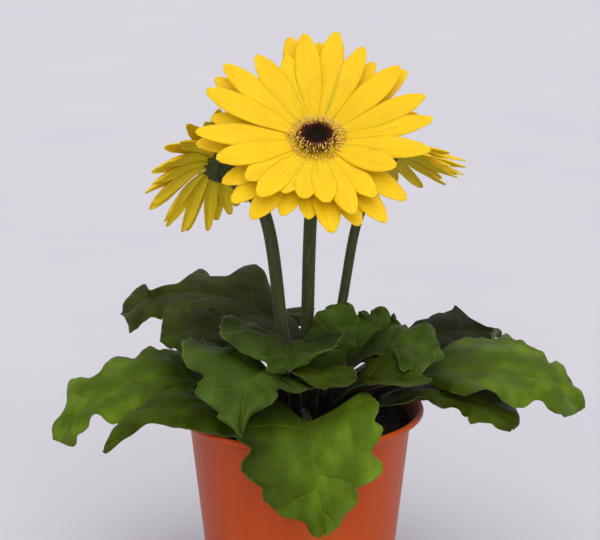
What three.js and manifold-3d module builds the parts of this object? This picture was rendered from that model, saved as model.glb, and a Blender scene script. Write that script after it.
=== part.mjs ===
// Potted gerbera: a rosette of lobed leaves and three yellow blooms on bare stems, in a plastic pot.
// Millimetres, +Z up, origin at the middle of the pot's underside. The plant's front faces -Y.
import * as THREE from 'three';
import { mergeVertices } from 'three/addons/utils/BufferGeometryUtils.js';
import Module from 'manifold-3d';

const wasm = await Module();
wasm.setup();

// Pot
const POT_HEIGHT = 107;
const RIM_RADIUS = 60;
const WALL_TOP_RADIUS = 53.6;
const BASE_RADIUS = 43;
const WALL = 1.3;
const POT_FLOOR_EDGE = 1.9;
const RIM_DEPTH = 7;
const POT_SIDES = 36;
const DRAIN_HOLES = 5;
const DRAIN_RADIUS = 3.5;
const DRAIN_CIRCLE = 30;

// Soil, and how deep a foot stands in its plain hole
const SOIL_TOP = 99.5;
const SOIL_GAP = 0.3;
const FOOT_DEPTH = 8;
const FOOT_LIFT = 1;
const HOLE_PLAY = 0.35;

// Leaves
const PETIOLE_RADIUS = 2.1;
const SLIM_PETIOLE_RADIUS = 1.64;
const SLIM_BELOW_HALF_WIDTH = 15;
const PETIOLE_STATIONS = [0.38, 0.78];
const BLADE_HALF_THICKNESS = 0.5;
const NARROWEST_HALF_WIDTH = 1.4;
const QUILTING = 0.9;
const LOBES_ALONG = 3.6;
const RUFFLES_ALONG = 2.3;
const BLADE_STATIONS = 11;
const SMALL_BLADE_STATIONS = 8;
const SMALL_HALF_WIDTH = 12;
const ACROSS = [-1, -0.52, 0, 0.52, 1];
const MID_AT = 0.62;

// Blooms
const RAY_WIDTH = 10.4;
const RAY_STATIONS = [0, 0.3, 0.62, 0.88, 1];
const RAY_WIDTH_SHARES = [0.24, 0.62, 0.97, 0.76, 0.3];
const RAY_ROOT_RADIUS = 6.4;
const RAY_CROWN = 0.55;
const RAY_BACK = 0.35;
const INNER_FLORETS = 14;
const DISC_RADIUS = 7.4;
const RAY_BASE_RADIUS = 9.4;
const RAY_BASE_SIDES = 16;
const ANGLE_VARIATION = 2.2;
const REACH_VARIATION = 0.04;
const CUP_RADIUS = 9;
const CUP_DEPTH = 11;
const BRACTS = 10;
const BRACT_HALF_WIDTH = 1.6;

const LEAF_GREEN = { color: '#4c6f2c', roughness: 0.5, metalness: 0 };
const YOUNG_GREEN = { color: '#4d6f48', roughness: 0.45, metalness: 0 };
const DARK_GREEN = { color: '#39491f', roughness: 0.55, metalness: 0 };
const STEM_GREEN = { color: '#4a4f22', roughness: 0.6, metalness: 0 };
const RAY_YELLOW = { color: '#f8d214', roughness: 0.6, metalness: 0 };
const FLORET_GOLD = { color: '#d9a62a', roughness: 0.6, metalness: 0 };
const DISC_BROWN = { color: '#2a120c', roughness: 0.7, metalness: 0 };
const POT_ORANGE = { color: '#bf5330', roughness: 0.4, metalness: 0 };
const SOIL_BROWN = { color: '#33241b', roughness: 0.95, metalness: 0 };

const degrees = THREE.MathUtils.degToRad;
const { lerp, smoothstep } = THREE.MathUtils;
const potted = new THREE.Group();

function addMesh(name, geometry, finish) {
  const mesh = new THREE.Mesh(geometry, new THREE.MeshStandardMaterial(finish));
  mesh.name = name;
  potted.add(mesh);
  return mesh;
}

// Seeded random numbers from 0 to 1, the same on every run
function randomFrom(seed) {
  let state = seed;
  return () => {
    state = (state * 1664525 + 1013904223) % 4294967296;
    return state / 4294967296;
  };
}

function toSolid(geometry) {
  const bare = geometry.clone();
  bare.deleteAttribute('normal');
  bare.deleteAttribute('uv');
  const merged = mergeVertices(bare, 1e-4);
  const vertProperties = new Float32Array(merged.attributes.position.array);
  const triVerts = new Uint32Array(merged.index.array);
  return new wasm.Manifold(new wasm.Mesh({ numProp: 3, vertProperties, triVerts }));
}

function toGeometry(solid) {
  const mesh = solid.getMesh();
  const geometry = new THREE.BufferGeometry();
  geometry.setAttribute('position', new THREE.BufferAttribute(mesh.vertProperties, 3));
  geometry.setIndex(new THREE.BufferAttribute(mesh.triVerts, 1));
  geometry.computeVertexNormals();
  return geometry;
}

// Joins a list of solids in pairs, so that no step joins a small one to a very large one
function joinAll(solids) {
  let list = solids;
  while (list.length > 1) {
    const next = [];
    for (let i = 0; i < list.length; i += 2) {
      next.push(i + 1 < list.length ? list[i].add(list[i + 1]) : list[i]);
    }
    list = next;
  }
  return list[0];
}

// A closed blade from rows of points across it, one row for each station along it. The upper and
// the lower skin share their margins and are split by the same diagonals.
function bladeGeometry(rows) {
  const last = rows[0].upper.length - 1;
  const rowSize = 2 * last;
  const points = rows.flatMap((row) => [...row.upper, ...row.lower.slice(1, last)]);
  const upper = (i, k) => i * rowSize + k;
  const lower = (i, k) => (k === 0 || k === last ? upper(i, k) : i * rowSize + last + k);
  const faces = [];
  for (let i = 0; i < rows.length - 1; i += 1) {
    for (let k = 0; k < last; k += 1) {
      faces.push([upper(i, k), upper(i + 1, k), upper(i + 1, k + 1)]);
      faces.push([upper(i, k), upper(i + 1, k + 1), upper(i, k + 1)]);
      faces.push([lower(i, k), lower(i + 1, k + 1), lower(i + 1, k)]);
      faces.push([lower(i, k), lower(i, k + 1), lower(i + 1, k + 1)]);
    }
  }
  const end = rows.length - 1;
  for (let k = 0; k < last; k += 1) {
    faces.push([upper(0, k), upper(0, k + 1), lower(0, k + 1)]);
    faces.push([upper(0, k), lower(0, k + 1), lower(0, k)]);
    faces.push([upper(end, k), lower(end, k + 1), upper(end, k + 1)]);
    faces.push([upper(end, k), lower(end, k), lower(end, k + 1)]);
  }
  const closed = faces.filter(([a, b, c]) => a !== b && b !== c && a !== c);
  const geometry = new THREE.BufferGeometry();
  geometry.setAttribute(
    'position',
    new THREE.Float32BufferAttribute(points.flatMap((point) => point.toArray()), 3),
  );
  geometry.setIndex(closed.flat());
  geometry.computeVertexNormals();
  return geometry;
}

// Pot: thin moulded plastic, a tapered wall with a flat floor and a rim that flares out and turns over
function potInnerRadius(z) {
  const share = (z - POT_FLOOR_EDGE) / (POT_HEIGHT - RIM_DEPTH - POT_FLOOR_EDGE);
  return lerp(BASE_RADIUS, WALL_TOP_RADIUS, share) - WALL;
}

function makePot() {
  const wallTop = POT_HEIGHT - RIM_DEPTH;
  const profile = [
    [0, 0],
    [BASE_RADIUS - 1.2, 0],
    [BASE_RADIUS, 1.2],
    [WALL_TOP_RADIUS, wallTop],
    [RIM_RADIUS - 2.6, POT_HEIGHT - 4],
    [RIM_RADIUS, POT_HEIGHT - 2],
    [RIM_RADIUS - 0.4, POT_HEIGHT - 0.3],
    [RIM_RADIUS - 1.6, POT_HEIGHT],
    [WALL_TOP_RADIUS + 0.6, wallTop + 2],
    [WALL_TOP_RADIUS - WALL, wallTop],
    [BASE_RADIUS - WALL, POT_FLOOR_EDGE],
    [BASE_RADIUS - WALL - 1, WALL],
    [0, WALL],
  ];
  const points = profile.map(([radius, z]) => new THREE.Vector2(radius, z));
  const lathe = new THREE.LatheGeometry(points, POT_SIDES).rotateX(Math.PI / 2);
  let pot = toSolid(lathe);
  for (let i = 0; i < DRAIN_HOLES; i += 1) {
    const angle = (2 * Math.PI * i) / DRAIN_HOLES + degrees(18);
    const drill = new THREE.CylinderGeometry(DRAIN_RADIUS, DRAIN_RADIUS, 6, 10).rotateX(Math.PI / 2);
    drill.translate(DRAIN_CIRCLE * Math.cos(angle), DRAIN_CIRCLE * Math.sin(angle), 0.6);
    pot = pot.subtract(toSolid(drill));
  }
  addMesh('pot', toGeometry(pot), POT_ORANGE);
}

// Height of the soil, mounded a little to the crown and rough all over
function soilHeight(x, y) {
  const radius = Math.hypot(x, y);
  const mound = 2.2 * Math.cos((Math.min(radius, 50) / 50) * (Math.PI / 2));
  const rough = 0.5 * Math.sin(0.31 * x + 1.3) * Math.cos(0.27 * y) + 0.35 * Math.sin(0.53 * y - 0.4 * x);
  return SOIL_TOP + mound + rough;
}

// Leaves. Each grows from its foot at [angle, radius] on the crown, heads the way that heading says,
// climbs by rise and leans out by lean, and passes through mid and tip. Roll lifts its left side, cup
// lifts both margins, wave ruffles them, and lobes sets how deep the rounded lobes are cut.
const LEAVES = {
  leaf_left_wide: {
    foot: [178, 19], heading: 184, rise: 22, lean: 14, mid: [-80, -5, 120], tip: [-117, -12, 93],
    halfWidth: 31, bladeFrom: 0.3, roll: -20, cup: -0.05, wave: 2.4, lobes: 0.3, phase: 0.1,
  },
  leaf_left_under: {
    foot: [207, 22], heading: 212, rise: 16, lean: 10, mid: [-56, -38, 113], tip: [-92, -53, 101],
    halfWidth: 20, bladeFrom: 0.18, roll: 14, cup: -0.04, wave: 1.4, lobes: 0.26, phase: 0.4,
  },
  leaf_back_left: {
    foot: [78, 16], heading: 168, rise: 58, lean: -4, mid: [-48, 43, 152], tip: [-86, 42, 131],
    halfWidth: 29, bladeFrom: 0.22, roll: -11, cup: 0.02, wave: 3, lobes: 0.32, phase: 0.7,
  },
  leaf_back_tall: {
    foot: [106, 21], heading: 108, rise: 34, lean: 6, mid: [-16, 62, 132], tip: [-25, 96, 118],
    halfWidth: 27, bladeFrom: 0.36, roll: 0, cup: 0, wave: 2.2, lobes: 0.28, phase: 0.2,
  },
  leaf_left_inner: {
    foot: [166, 13], heading: 182, rise: 44, lean: 2, mid: [-41, -3, 143], tip: [-62, -6, 132],
    halfWidth: 19, bladeFrom: 0.3, roll: -16, cup: -0.02, wave: 1.8, lobes: 0.3, phase: 0.5,
  },
  leaf_front_left: {
    foot: [237, 17], heading: 254, rise: 42, lean: 2, mid: [-21, -44, 137], tip: [-28, -66, 114],
    halfWidth: 32, bladeFrom: 0.32, roll: -16, cup: -0.04, wave: 2, lobes: 0.3, phase: 0.3,
  },
  leaf_front_upper: {
    foot: [258, 9.5], heading: 266, rise: 47, lean: 2, mid: [-5.5, -28, 146], tip: [-5.5, -50, 135],
    halfWidth: 30, bladeFrom: 0.32, roll: -6, cup: 0.26, wave: 2, lobes: 0.34, phase: 0.15,
  },
  leaf_front_under: {
    foot: [291, 15], heading: 284, rise: 38, lean: 2, mid: [11, -36, 134], tip: [13, -54, 129],
    halfWidth: 19, bladeFrom: 0.4, roll: 0, cup: 0.08, wave: 1, lobes: 0.2, phase: 0.6,
  },
  leaf_front_hanging: {
    foot: [272, 21], heading: 276, rise: 28, lean: 12, mid: [6, -64, 107], tip: [11, -69, 69],
    halfWidth: 34, bladeFrom: 0.26, roll: 12, cup: 0.1, wave: 1.8, lobes: 0.26, phase: 0.35,
  },
  leaf_right_inner: {
    foot: [344, 14], heading: 350, rise: 44, lean: 4, mid: [48, -10, 141], tip: [65, -14, 130],
    halfWidth: 22, bladeFrom: 0.36, roll: 18, cup: -0.04, wave: 1.6, lobes: 0.3, phase: 0.45,
  },
  leaf_right_cupped: {
    foot: [325, 17.5], heading: 340, rise: 28, lean: 6, mid: [43, -32, 126], tip: [63, -38, 129],
    halfWidth: 15, bladeFrom: 0.36, roll: -28, cup: 0.2, wave: 0.8, lobes: 0.12, phase: 0.2,
  },
  leaf_right_wide: {
    foot: [357, 21], heading: 354, rise: 22, lean: 12, mid: [93, -15, 129], tip: [133, -22, 112],
    halfWidth: 33, bladeFrom: 0.3, roll: 12, cup: 0, wave: 2.4, lobes: 0.3, phase: 0.55,
  },
  leaf_right_back: {
    foot: [18, 21], heading: 22, rise: 38, lean: 10, mid: [75, 36, 134], tip: [102, 41, 128],
    halfWidth: 22, bladeFrom: 0.32, roll: 14, cup: 0.06, wave: 2.4, lobes: 0.34, phase: 0.25,
  },
  leaf_right_under: {
    foot: [317, 22.5], heading: 334, rise: 16, lean: 14, mid: [68, -34, 119], tip: [101, -49, 110],
    halfWidth: 22, bladeFrom: 0.3, roll: 4, cup: 0, wave: 1.6, lobes: 0.32, phase: 0.8,
  },
  leaf_back_middle: {
    foot: [82, 22], heading: 76, rise: 26, lean: 10, mid: [14, 66, 122], tip: [20, 102, 103],
    halfWidth: 26, bladeFrom: 0.34, roll: 0, cup: -0.04, wave: 2, lobes: 0.3, phase: 0.65,
  },
  leaf_back_right: {
    foot: [42, 23], heading: 44, rise: 22, lean: 12, mid: [54, 56, 119], tip: [82, 78, 101],
    halfWidth: 25, bladeFrom: 0.34, roll: 0, cup: -0.04, wave: 2, lobes: 0.3, phase: 0.05,
  },
  leaf_back_low: {
    foot: [136, 23], heading: 138, rise: 18, lean: 12, mid: [-48, 56, 117], tip: [-77, 82, 101],
    halfWidth: 25, bladeFrom: 0.34, roll: 0, cup: -0.04, wave: 2, lobes: 0.3, phase: 0.9,
  },
  leaf_young_dark: {
    foot: [332, 8.5], heading: 278, rise: 30, lean: 0, mid: [16, -4, 144], tip: [21, 1, 158],
    halfWidth: 11.5, bladeFrom: 0.36, roll: 0, cup: 0.1, wave: 0.8, lobes: 0.16, phase: 0.3,
  },
  leaf_young_round: {
    foot: [18, 11.2], heading: 270, rise: 28, lean: 0, mid: [32, 13, 140], tip: [35, 16, 150],
    halfWidth: 8, bladeFrom: 0.42, roll: 0, cup: 0.1, wave: 0.4, lobes: 0.1, phase: 0.1,
  },
  leaf_young_tall: {
    foot: [44, 12], heading: 270, rise: 28, lean: 0, mid: [26, 17, 138], tip: [29, 20, 148],
    halfWidth: 5, bladeFrom: 0.42, roll: 0, cup: 0.1, wave: 0.4, lobes: 0.1, phase: 0.6,
  },
  leaf_young_pointed: {
    foot: [38, 18], heading: 10, rise: 34, lean: 2, mid: [39, 21, 137], tip: [46, 24, 146],
    halfWidth: 9, bladeFrom: 0.4, roll: 30, cup: 0.1, wave: 0.8, lobes: 0.2, phase: 0.4,
  },
};
const YOUNG_LEAVES = ['leaf_young_round', 'leaf_young_tall', 'leaf_young_pointed', 'leaf_right_inner',
  'leaf_front_upper', 'leaf_front_left'];
const SHADED_LEAVES = ['leaf_back_tall', 'leaf_back_left', 'leaf_young_dark'];

function petioleRadius(leaf) {
  return leaf.halfWidth < SLIM_BELOW_HALF_WIDTH ? SLIM_PETIOLE_RADIUS : PETIOLE_RADIUS;
}

// Where the petiole leaves the soil
function footPoint(leaf) {
  const [angle, radius] = leaf.foot;
  const x = radius * Math.cos(degrees(angle));
  const y = radius * Math.sin(degrees(angle));
  return new THREE.Vector3(x, y, soilHeight(x, y) + FOOT_LIFT);
}

// Midrib: a cubic curve that leaves the foot straight up and passes through mid at MID_AT
function midribCurve(leaf) {
  const start = footPoint(leaf);
  const heading = degrees(leaf.heading);
  const outward = new THREE.Vector3(Math.cos(heading), Math.sin(heading), 0);
  const second = start.clone().addScaledVector(outward, leaf.lean);
  second.z += leaf.rise;
  const tip = new THREE.Vector3(...leaf.tip);
  const rest = 1 - MID_AT;
  const third = new THREE.Vector3(...leaf.mid)
    .addScaledVector(start, -(rest ** 3))
    .addScaledVector(second, -3 * rest * rest * MID_AT)
    .addScaledVector(tip, -(MID_AT ** 3))
    .divideScalar(3 * rest * MID_AT * MID_AT);
  return new THREE.CubicBezierCurve3(start, second, third, tip);
}

// Share of the half width at t along the blade, on the left side (1) or the right side (-1)
function marginShare(leaf, t, side) {
  const body = 0.14 + 0.86 * smoothstep(t, 0, 0.36);
  const tipRound = Math.sqrt(1 - (Math.max(t - 0.6, 0) / 0.405) ** 2);
  const swing = Math.cos(2 * Math.PI * (LOBES_ALONG * t + leaf.phase + 0.18 * side));
  return body * tipRound * (1 - leaf.lobes * (0.5 - 0.5 * swing));
}

function leafFrame(leaf, tangent, rollShare) {
  const heading = degrees(leaf.heading);
  const left = new THREE.Vector3(-Math.sin(heading), Math.cos(heading), 0);
  const normal = tangent.clone().cross(left).normalize();
  const side = normal.clone().cross(tangent).normalize();
  const roll = degrees(leaf.roll) * rollShare;
  return {
    side: side.clone().multiplyScalar(Math.cos(roll)).addScaledVector(normal, Math.sin(roll)),
    normal: normal.clone().multiplyScalar(Math.cos(roll)).addScaledVector(side, -Math.sin(roll)),
  };
}

function petioleRow(centre, frame, width, height) {
  const upper = [];
  const lower = [];
  ACROSS.forEach((v, k) => {
    const angle = Math.PI - (k * Math.PI) / (ACROSS.length - 1);
    const middle = centre.clone().addScaledVector(frame.side, width * Math.cos(angle));
    upper.push(middle.clone().addScaledVector(frame.normal, height * Math.sin(angle)));
    lower.push(middle.clone().addScaledVector(frame.normal, -height * Math.sin(angle)));
  });
  return { upper, lower };
}

function bladeRow(leaf, centre, frame, t) {
  const upper = [];
  const lower = [];
  const spread = smoothstep(t, 0, 0.3);
  for (const v of ACROSS) {
    const side = v < 0 ? -1 : 1;
    const width = Math.max(leaf.halfWidth * marginShare(leaf, t, side), NARROWEST_HALF_WIDTH);
    const turn = 2 * Math.PI * (RUFFLES_ALONG * t + leaf.phase + 0.31 * side);
    const ruffle = leaf.wave * Math.sin(turn) * v * v;
    const quilt = QUILTING * (1 - Math.abs(2 * Math.abs(v) - 1));
    const lift = spread * (leaf.cup * width * Math.abs(v) + ruffle + quilt);
    const skin = centre.clone()
      .addScaledVector(frame.side, width * v)
      .addScaledVector(frame.normal, lift);
    const rib = v === 0 ? lerp(PETIOLE_RADIUS, BLADE_HALF_THICKNESS, Math.sqrt(t)) : BLADE_HALF_THICKNESS;
    const thickness = Math.abs(v) === 1 ? 0 : 1;
    upper.push(skin.clone().addScaledVector(frame.normal, thickness * BLADE_HALF_THICKNESS));
    lower.push(skin.clone().addScaledVector(frame.normal, -thickness * rib));
  }
  return { upper, lower };
}

function makeLeaf(name, leaf) {
  const curve = midribCurve(leaf);
  const start = curve.v0;
  const radius = petioleRadius(leaf);
  const upright = leafFrame(leaf, new THREE.Vector3(0, 0, 1), 0);
  const foot = start.clone();
  foot.z -= FOOT_DEPTH + FOOT_LIFT;
  const rows = [petioleRow(foot, upright, radius, radius)];
  rows.push(petioleRow(start, upright, radius, radius));
  for (const share of PETIOLE_STATIONS) {
    const s = leaf.bladeFrom * share;
    const frame = leafFrame(leaf, curve.getTangent(s), share * 0.5);
    rows.push(petioleRow(curve.getPoint(s), frame, radius, radius * 0.8));
  }
  const stations = leaf.halfWidth < SMALL_HALF_WIDTH ? SMALL_BLADE_STATIONS : BLADE_STATIONS;
  for (let i = 0; i < stations; i += 1) {
    const t = i / (stations - 1);
    const s = lerp(leaf.bladeFrom, 1, t);
    const frame = leafFrame(leaf, curve.getTangent(s), lerp(0.5, 1, smoothstep(t, 0, 0.4)));
    rows.push(bladeRow(leaf, curve.getPoint(s), frame, t));
  }
  let finish = LEAF_GREEN;
  if (YOUNG_LEAVES.includes(name)) finish = YOUNG_GREEN;
  if (SHADED_LEAVES.includes(name)) finish = DARK_GREEN;
  addMesh(name, bladeGeometry(rows), finish);
}

// Rays of one layer as [angle, reach], spread evenly and then each varied a little
function evenRays(count, firstShare, reach, seed) {
  const random = randomFrom(seed);
  const rays = [];
  for (let i = 0; i < count; i += 1) {
    const angle = (360 / count) * (i + firstShare) + (random() - 0.5) * 2 * ANGLE_VARIATION;
    rays.push([angle, reach * (1 + (random() - 0.5) * 2 * REACH_VARIATION)]);
  }
  return rays;
}

// Blooms. Centre is the middle of the disc, facing is the way that it looks. A layer's rays rise by
// rise[0] at the root and by rise[1] at the tip, in degrees above the disc's plane.
const BLOOMS = {
  front: {
    centre: [7.5, -20, 243], facing: [0, -0.743, 0.669],
    stemRadius: 3.1, stem: [[2.5, 6, 106], [3.6, 4.5, 150], [5, -1, 200]], seed: 11,
    layers: [
      {
        rise: [27, 16],
        rays: [
          [1, 55.6], [15, 54.4], [37, 51.3], [62, 49.5], [79, 52.7], [97, 51], [111, 43], [127, 48.8],
          [145, 55.4], [163, 56.2], [186, 58], [204, 52.8], [221, 45], [235, 49], [247, 39.5],
          [261, 41], [276, 43.8], [289, 53], [305, 47.7], [327, 45], [343, 56.5],
        ],
      },
      {
        rise: [17, 8],
        rays: [
          [9, 49], [37, 53.4], [54, 47], [88, 49], [104, 53.1], [150, 55.2], [172, 50], [187, 56.2],
          [213, 51.7], [224, 54.2], [237, 55.3], [250, 46.5], [265, 46.1], [277, 55.6], [291, 53.5],
          [303, 58], [318, 55.4],
        ],
      },
    ],
  },
  left: {
    centre: [-47.5, 28, 227], facing: [-0.58, 0.56, 0.59],
    stemRadius: 3.1, stem: [[-2, -1.5, 106], [-7.8, 0, 139], [-18, 3.5, 204]], seed: 23,
    layers: [
      { rise: [26, -38], rays: evenRays(14, 0.25, 45.5, 23) },
      { rise: [20, -44], rays: evenRays(14, 0.75, 44.1, 24) },
    ],
  },
  right: {
    centre: [38, 37, 227], facing: [0.12, 0.4, 0.91],
    stemRadius: 2.4, stem: [[12, 21, 106], [20.4, 24, 150], [28, 28, 192]], seed: 37,
    layers: [
      { rise: [13, -10], rays: evenRays(14, 0.25, 44, 37) },
      { rise: [7, -16], rays: evenRays(14, 0.75, 42.7, 38) },
    ],
  },
};

// Turns the disc's own axes, with +Z along facing and +X level, into the plant's axes
function bloomMatrix(bloom) {
  const normal = new THREE.Vector3(...bloom.facing).normalize();
  const level = new THREE.Vector3(0, 0, 1).cross(normal).normalize();
  const up = normal.clone().cross(level);
  return new THREE.Matrix4().makeBasis(level, up, normal).setPosition(...bloom.centre);
}

// One strap-shaped ray floret, narrow at its root and round at its tip, in the disc's own axes
function rayFloret(angle, reach, rootHeight, baseRise, tipRise, twist) {
  const radial = new THREE.Vector3(Math.cos(angle), Math.sin(angle), 0);
  const across = new THREE.Vector3(-Math.sin(angle), Math.cos(angle), 0);
  const length = reach - RAY_ROOT_RADIUS;
  const rows = [];
  let along = RAY_ROOT_RADIUS;
  let height = rootHeight;
  RAY_STATIONS.forEach((t, i) => {
    const rise = degrees(lerp(baseRise, tipRise, t));
    if (i > 0) {
      const step = (t - RAY_STATIONS[i - 1]) * length;
      along += step * Math.cos(rise);
      height += step * Math.sin(rise);
    }
    const normal = radial.clone().multiplyScalar(-Math.sin(rise));
    normal.z = Math.cos(rise);
    const turn = twist * t;
    const side = across.clone().multiplyScalar(Math.cos(turn)).addScaledVector(normal, Math.sin(turn));
    const centre = radial.clone().multiplyScalar(along);
    centre.z = height;
    const half = (RAY_WIDTH / 2) * RAY_WIDTH_SHARES[i];
    const left = centre.clone().addScaledVector(side, half);
    const right = centre.clone().addScaledVector(side, -half);
    const crown = centre.clone().addScaledVector(normal, RAY_CROWN);
    const back = centre.clone().addScaledVector(normal, -RAY_BACK);
    rows.push({ upper: [right, crown, left], lower: [right, back, left] });
  });
  return bladeGeometry(rows);
}

function makeRays(name, bloom) {
  const random = randomFrom(bloom.seed);
  const spread = (amount) => (random() - 0.5) * 2 * amount;
  const base = new THREE.CylinderGeometry(RAY_BASE_RADIUS, RAY_BASE_RADIUS - 0.8, 1.8, RAY_BASE_SIDES);
  base.rotateX(Math.PI / 2).translate(0, 0, -2.1);
  const parts = [toSolid(base)];
  bloom.layers.forEach(({ rise, rays }, layer) => {
    for (const [angle, reach] of rays) {
      const wag = spread(2);
      parts.push(toSolid(rayFloret(
        degrees(angle), reach, -1.5 - 0.9 * layer, rise[0] + wag, rise[1] + wag, degrees(spread(6)),
      )));
    }
  });
  const mesh = addMesh(name, toGeometry(joinAll(parts)), RAY_YELLOW);
  mesh.applyMatrix4(bloomMatrix(bloom));
}

// One small floret or bract: a three-sided spike, straight or bent over towards its tip
function spikeFloret(angle, rootRadius, tipRadius, rootHeight, tipHeight, width, bent) {
  const shape = (radius, height, half) => [0, 1, 2].map((corner) => {
    const turn = (corner * 2 * Math.PI) / 3 + Math.PI / 2;
    const y = half * Math.cos(turn);
    const z = height + half * 0.8 * Math.sin(turn);
    return new THREE.Vector3(radius, y, z).applyAxisAngle(new THREE.Vector3(0, 0, 1), angle);
  });
  const middle = lerp(rootRadius, tipRadius, 0.62);
  const points = shape(rootRadius, rootHeight, bent ? width * 0.7 : width);
  if (bent) points.push(...shape(middle, lerp(rootHeight, tipHeight, 0.75), width));
  points.push(new THREE.Vector3(tipRadius, 0, tipHeight).applyAxisAngle(new THREE.Vector3(0, 0, 1), angle));
  const tip = points.length - 1;
  const faces = [[0, 2, 1]];
  for (let i = 0; i < 3; i += 1) {
    const j = (i + 1) % 3;
    if (bent) faces.push([i, j, 3 + j], [i, 3 + j, 3 + i]);
    faces.push([tip - 3 + i, tip - 3 + j, tip]);
  }
  const geometry = new THREE.BufferGeometry();
  geometry.setAttribute(
    'position',
    new THREE.Float32BufferAttribute(points.flatMap((point) => point.toArray()), 3),
  );
  geometry.setIndex(faces.flat());
  geometry.computeVertexNormals();
  return geometry;
}

// Ring of golden inner florets on a thin plate
function makeInnerFlorets(name, bloom) {
  const random = randomFrom(bloom.seed + 5);
  const plate = new THREE.CylinderGeometry(DISC_RADIUS + 1, DISC_RADIUS - 0.4, 1, INNER_FLORETS);
  plate.rotateX(Math.PI / 2).translate(0, 0, 0.4);
  const parts = [toSolid(plate)];
  const rings = [
    { root: 7.8, tip: 13.6, high: 1.9 },
    { root: 7, tip: 11.6, high: 3.4 },
    { root: 6.2, tip: 9.4, high: 4.4 },
  ];
  const steepness = Math.tan(degrees(bloom.layers[0].rise[0] - 8));
  rings.forEach(({ root, tip, high }, ring) => {
    for (let i = 0; i < INNER_FLORETS; i += 1) {
      const angle = (2 * Math.PI * (i + 0.5 * (ring % 2) + 0.2 * (random() - 0.5))) / INNER_FLORETS;
      const reach = tip + 1.2 * (random() - 0.5);
      const height = high + (reach - root) * steepness + 0.6 * (random() - 0.5);
      parts.push(toSolid(spikeFloret(angle, root, reach, 0.5, height, 0.8, ring < 2)));
    }
  });
  const mesh = addMesh(name, toGeometry(joinAll(parts)), FLORET_GOLD);
  mesh.applyMatrix4(bloomMatrix(bloom));
}

// Dark centre: a low dome, studded with closed buds in a spiral as relief
function makeDisc(name, bloom) {
  const profile = [];
  const rings = 5;
  for (let i = 0; i <= rings; i += 1) {
    const radius = (DISC_RADIUS - 1.4) * Math.sin(((rings - i) / rings) * (Math.PI / 2));
    profile.push(new THREE.Vector2(radius, 1.3 + 1.8 * Math.sin((i / rings) * (Math.PI / 2))));
  }
  profile.unshift(new THREE.Vector2(0, 1.25));
  profile[profile.length - 1].x = 0;
  const dome = new THREE.LatheGeometry(profile, 16).rotateX(Math.PI / 2);
  const position = dome.attributes.position;
  for (let i = 0; i < position.count; i += 1) {
    const x = position.getX(i);
    const y = position.getY(i);
    const radius = Math.hypot(x, y);
    const bud = 0.45 * Math.cos(2.6 * radius) * Math.cos(11 * Math.atan2(y, x) + 2 * radius);
    const share = position.getZ(i) > 1.35 ? smoothstep(radius, 0, 1.5) : 0;
    position.setZ(i, position.getZ(i) + share * bud);
  }
  const mesh = addMesh(name, toGeometry(toSolid(dome)), DISC_BROWN);
  mesh.applyMatrix4(bloomMatrix(bloom));
}

function circleShape(radius, sides) {
  const points = [];
  for (let i = 0; i < sides; i += 1) {
    const angle = (2 * Math.PI * i) / sides;
    points.push(new THREE.Vector2(radius * Math.cos(angle), radius * Math.sin(angle)));
  }
  return new THREE.Shape(points);
}

// Stem with the green cup of pointed bracts under its bloom
function makeStem(name, bloom) {
  const matrix = bloomMatrix(bloom);
  const neck = new THREE.Vector3(0, 0, -CUP_DEPTH - 6).applyMatrix4(matrix);
  const inside = new THREE.Vector3(0, 0, -CUP_DEPTH + 3).applyMatrix4(matrix);
  const [startX, startY] = bloom.stem[0];
  const start = new THREE.Vector3(startX, startY, soilHeight(startX, startY) - FOOT_DEPTH);
  const way = bloom.stem.map((point) => new THREE.Vector3(...point));
  const path = new THREE.CatmullRomCurve3([start, ...way, neck, inside], false, 'centripetal');
  const tube = new THREE.ExtrudeGeometry(circleShape(bloom.stemRadius, 8), {
    steps: 14, bevelEnabled: false, extrudePath: path,
  });
  const cupProfile = [
    [0, -CUP_DEPTH], [bloom.stemRadius + 0.5, -CUP_DEPTH], [6.6, -9], [CUP_RADIUS - 0.4, -6.4],
    [CUP_RADIUS, -3.5], [0, -3.4],
  ].map(([radius, z]) => new THREE.Vector2(radius, z));
  const cup = new THREE.LatheGeometry(cupProfile, BRACTS).rotateX(Math.PI / 2).applyMatrix4(matrix);
  const parts = [toSolid(tube), toSolid(cup)];
  for (const row of [0, 1]) {
    for (let i = 0; i < BRACTS; i += 1) {
      const angle = (2 * Math.PI * (i + 0.5 * row)) / BRACTS;
      const bract = spikeFloret(
        angle, CUP_RADIUS - 2.6 + row, CUP_RADIUS + 3.2 + 1.6 * row,
        -8.4 + 2 * row, -4.6 + 0.6 * row, BRACT_HALF_WIDTH, false,
      );
      parts.push(toSolid(bract.applyMatrix4(matrix)));
    }
  }
  addMesh(name, toGeometry(joinAll(parts)), STEM_GREEN);
}

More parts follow.
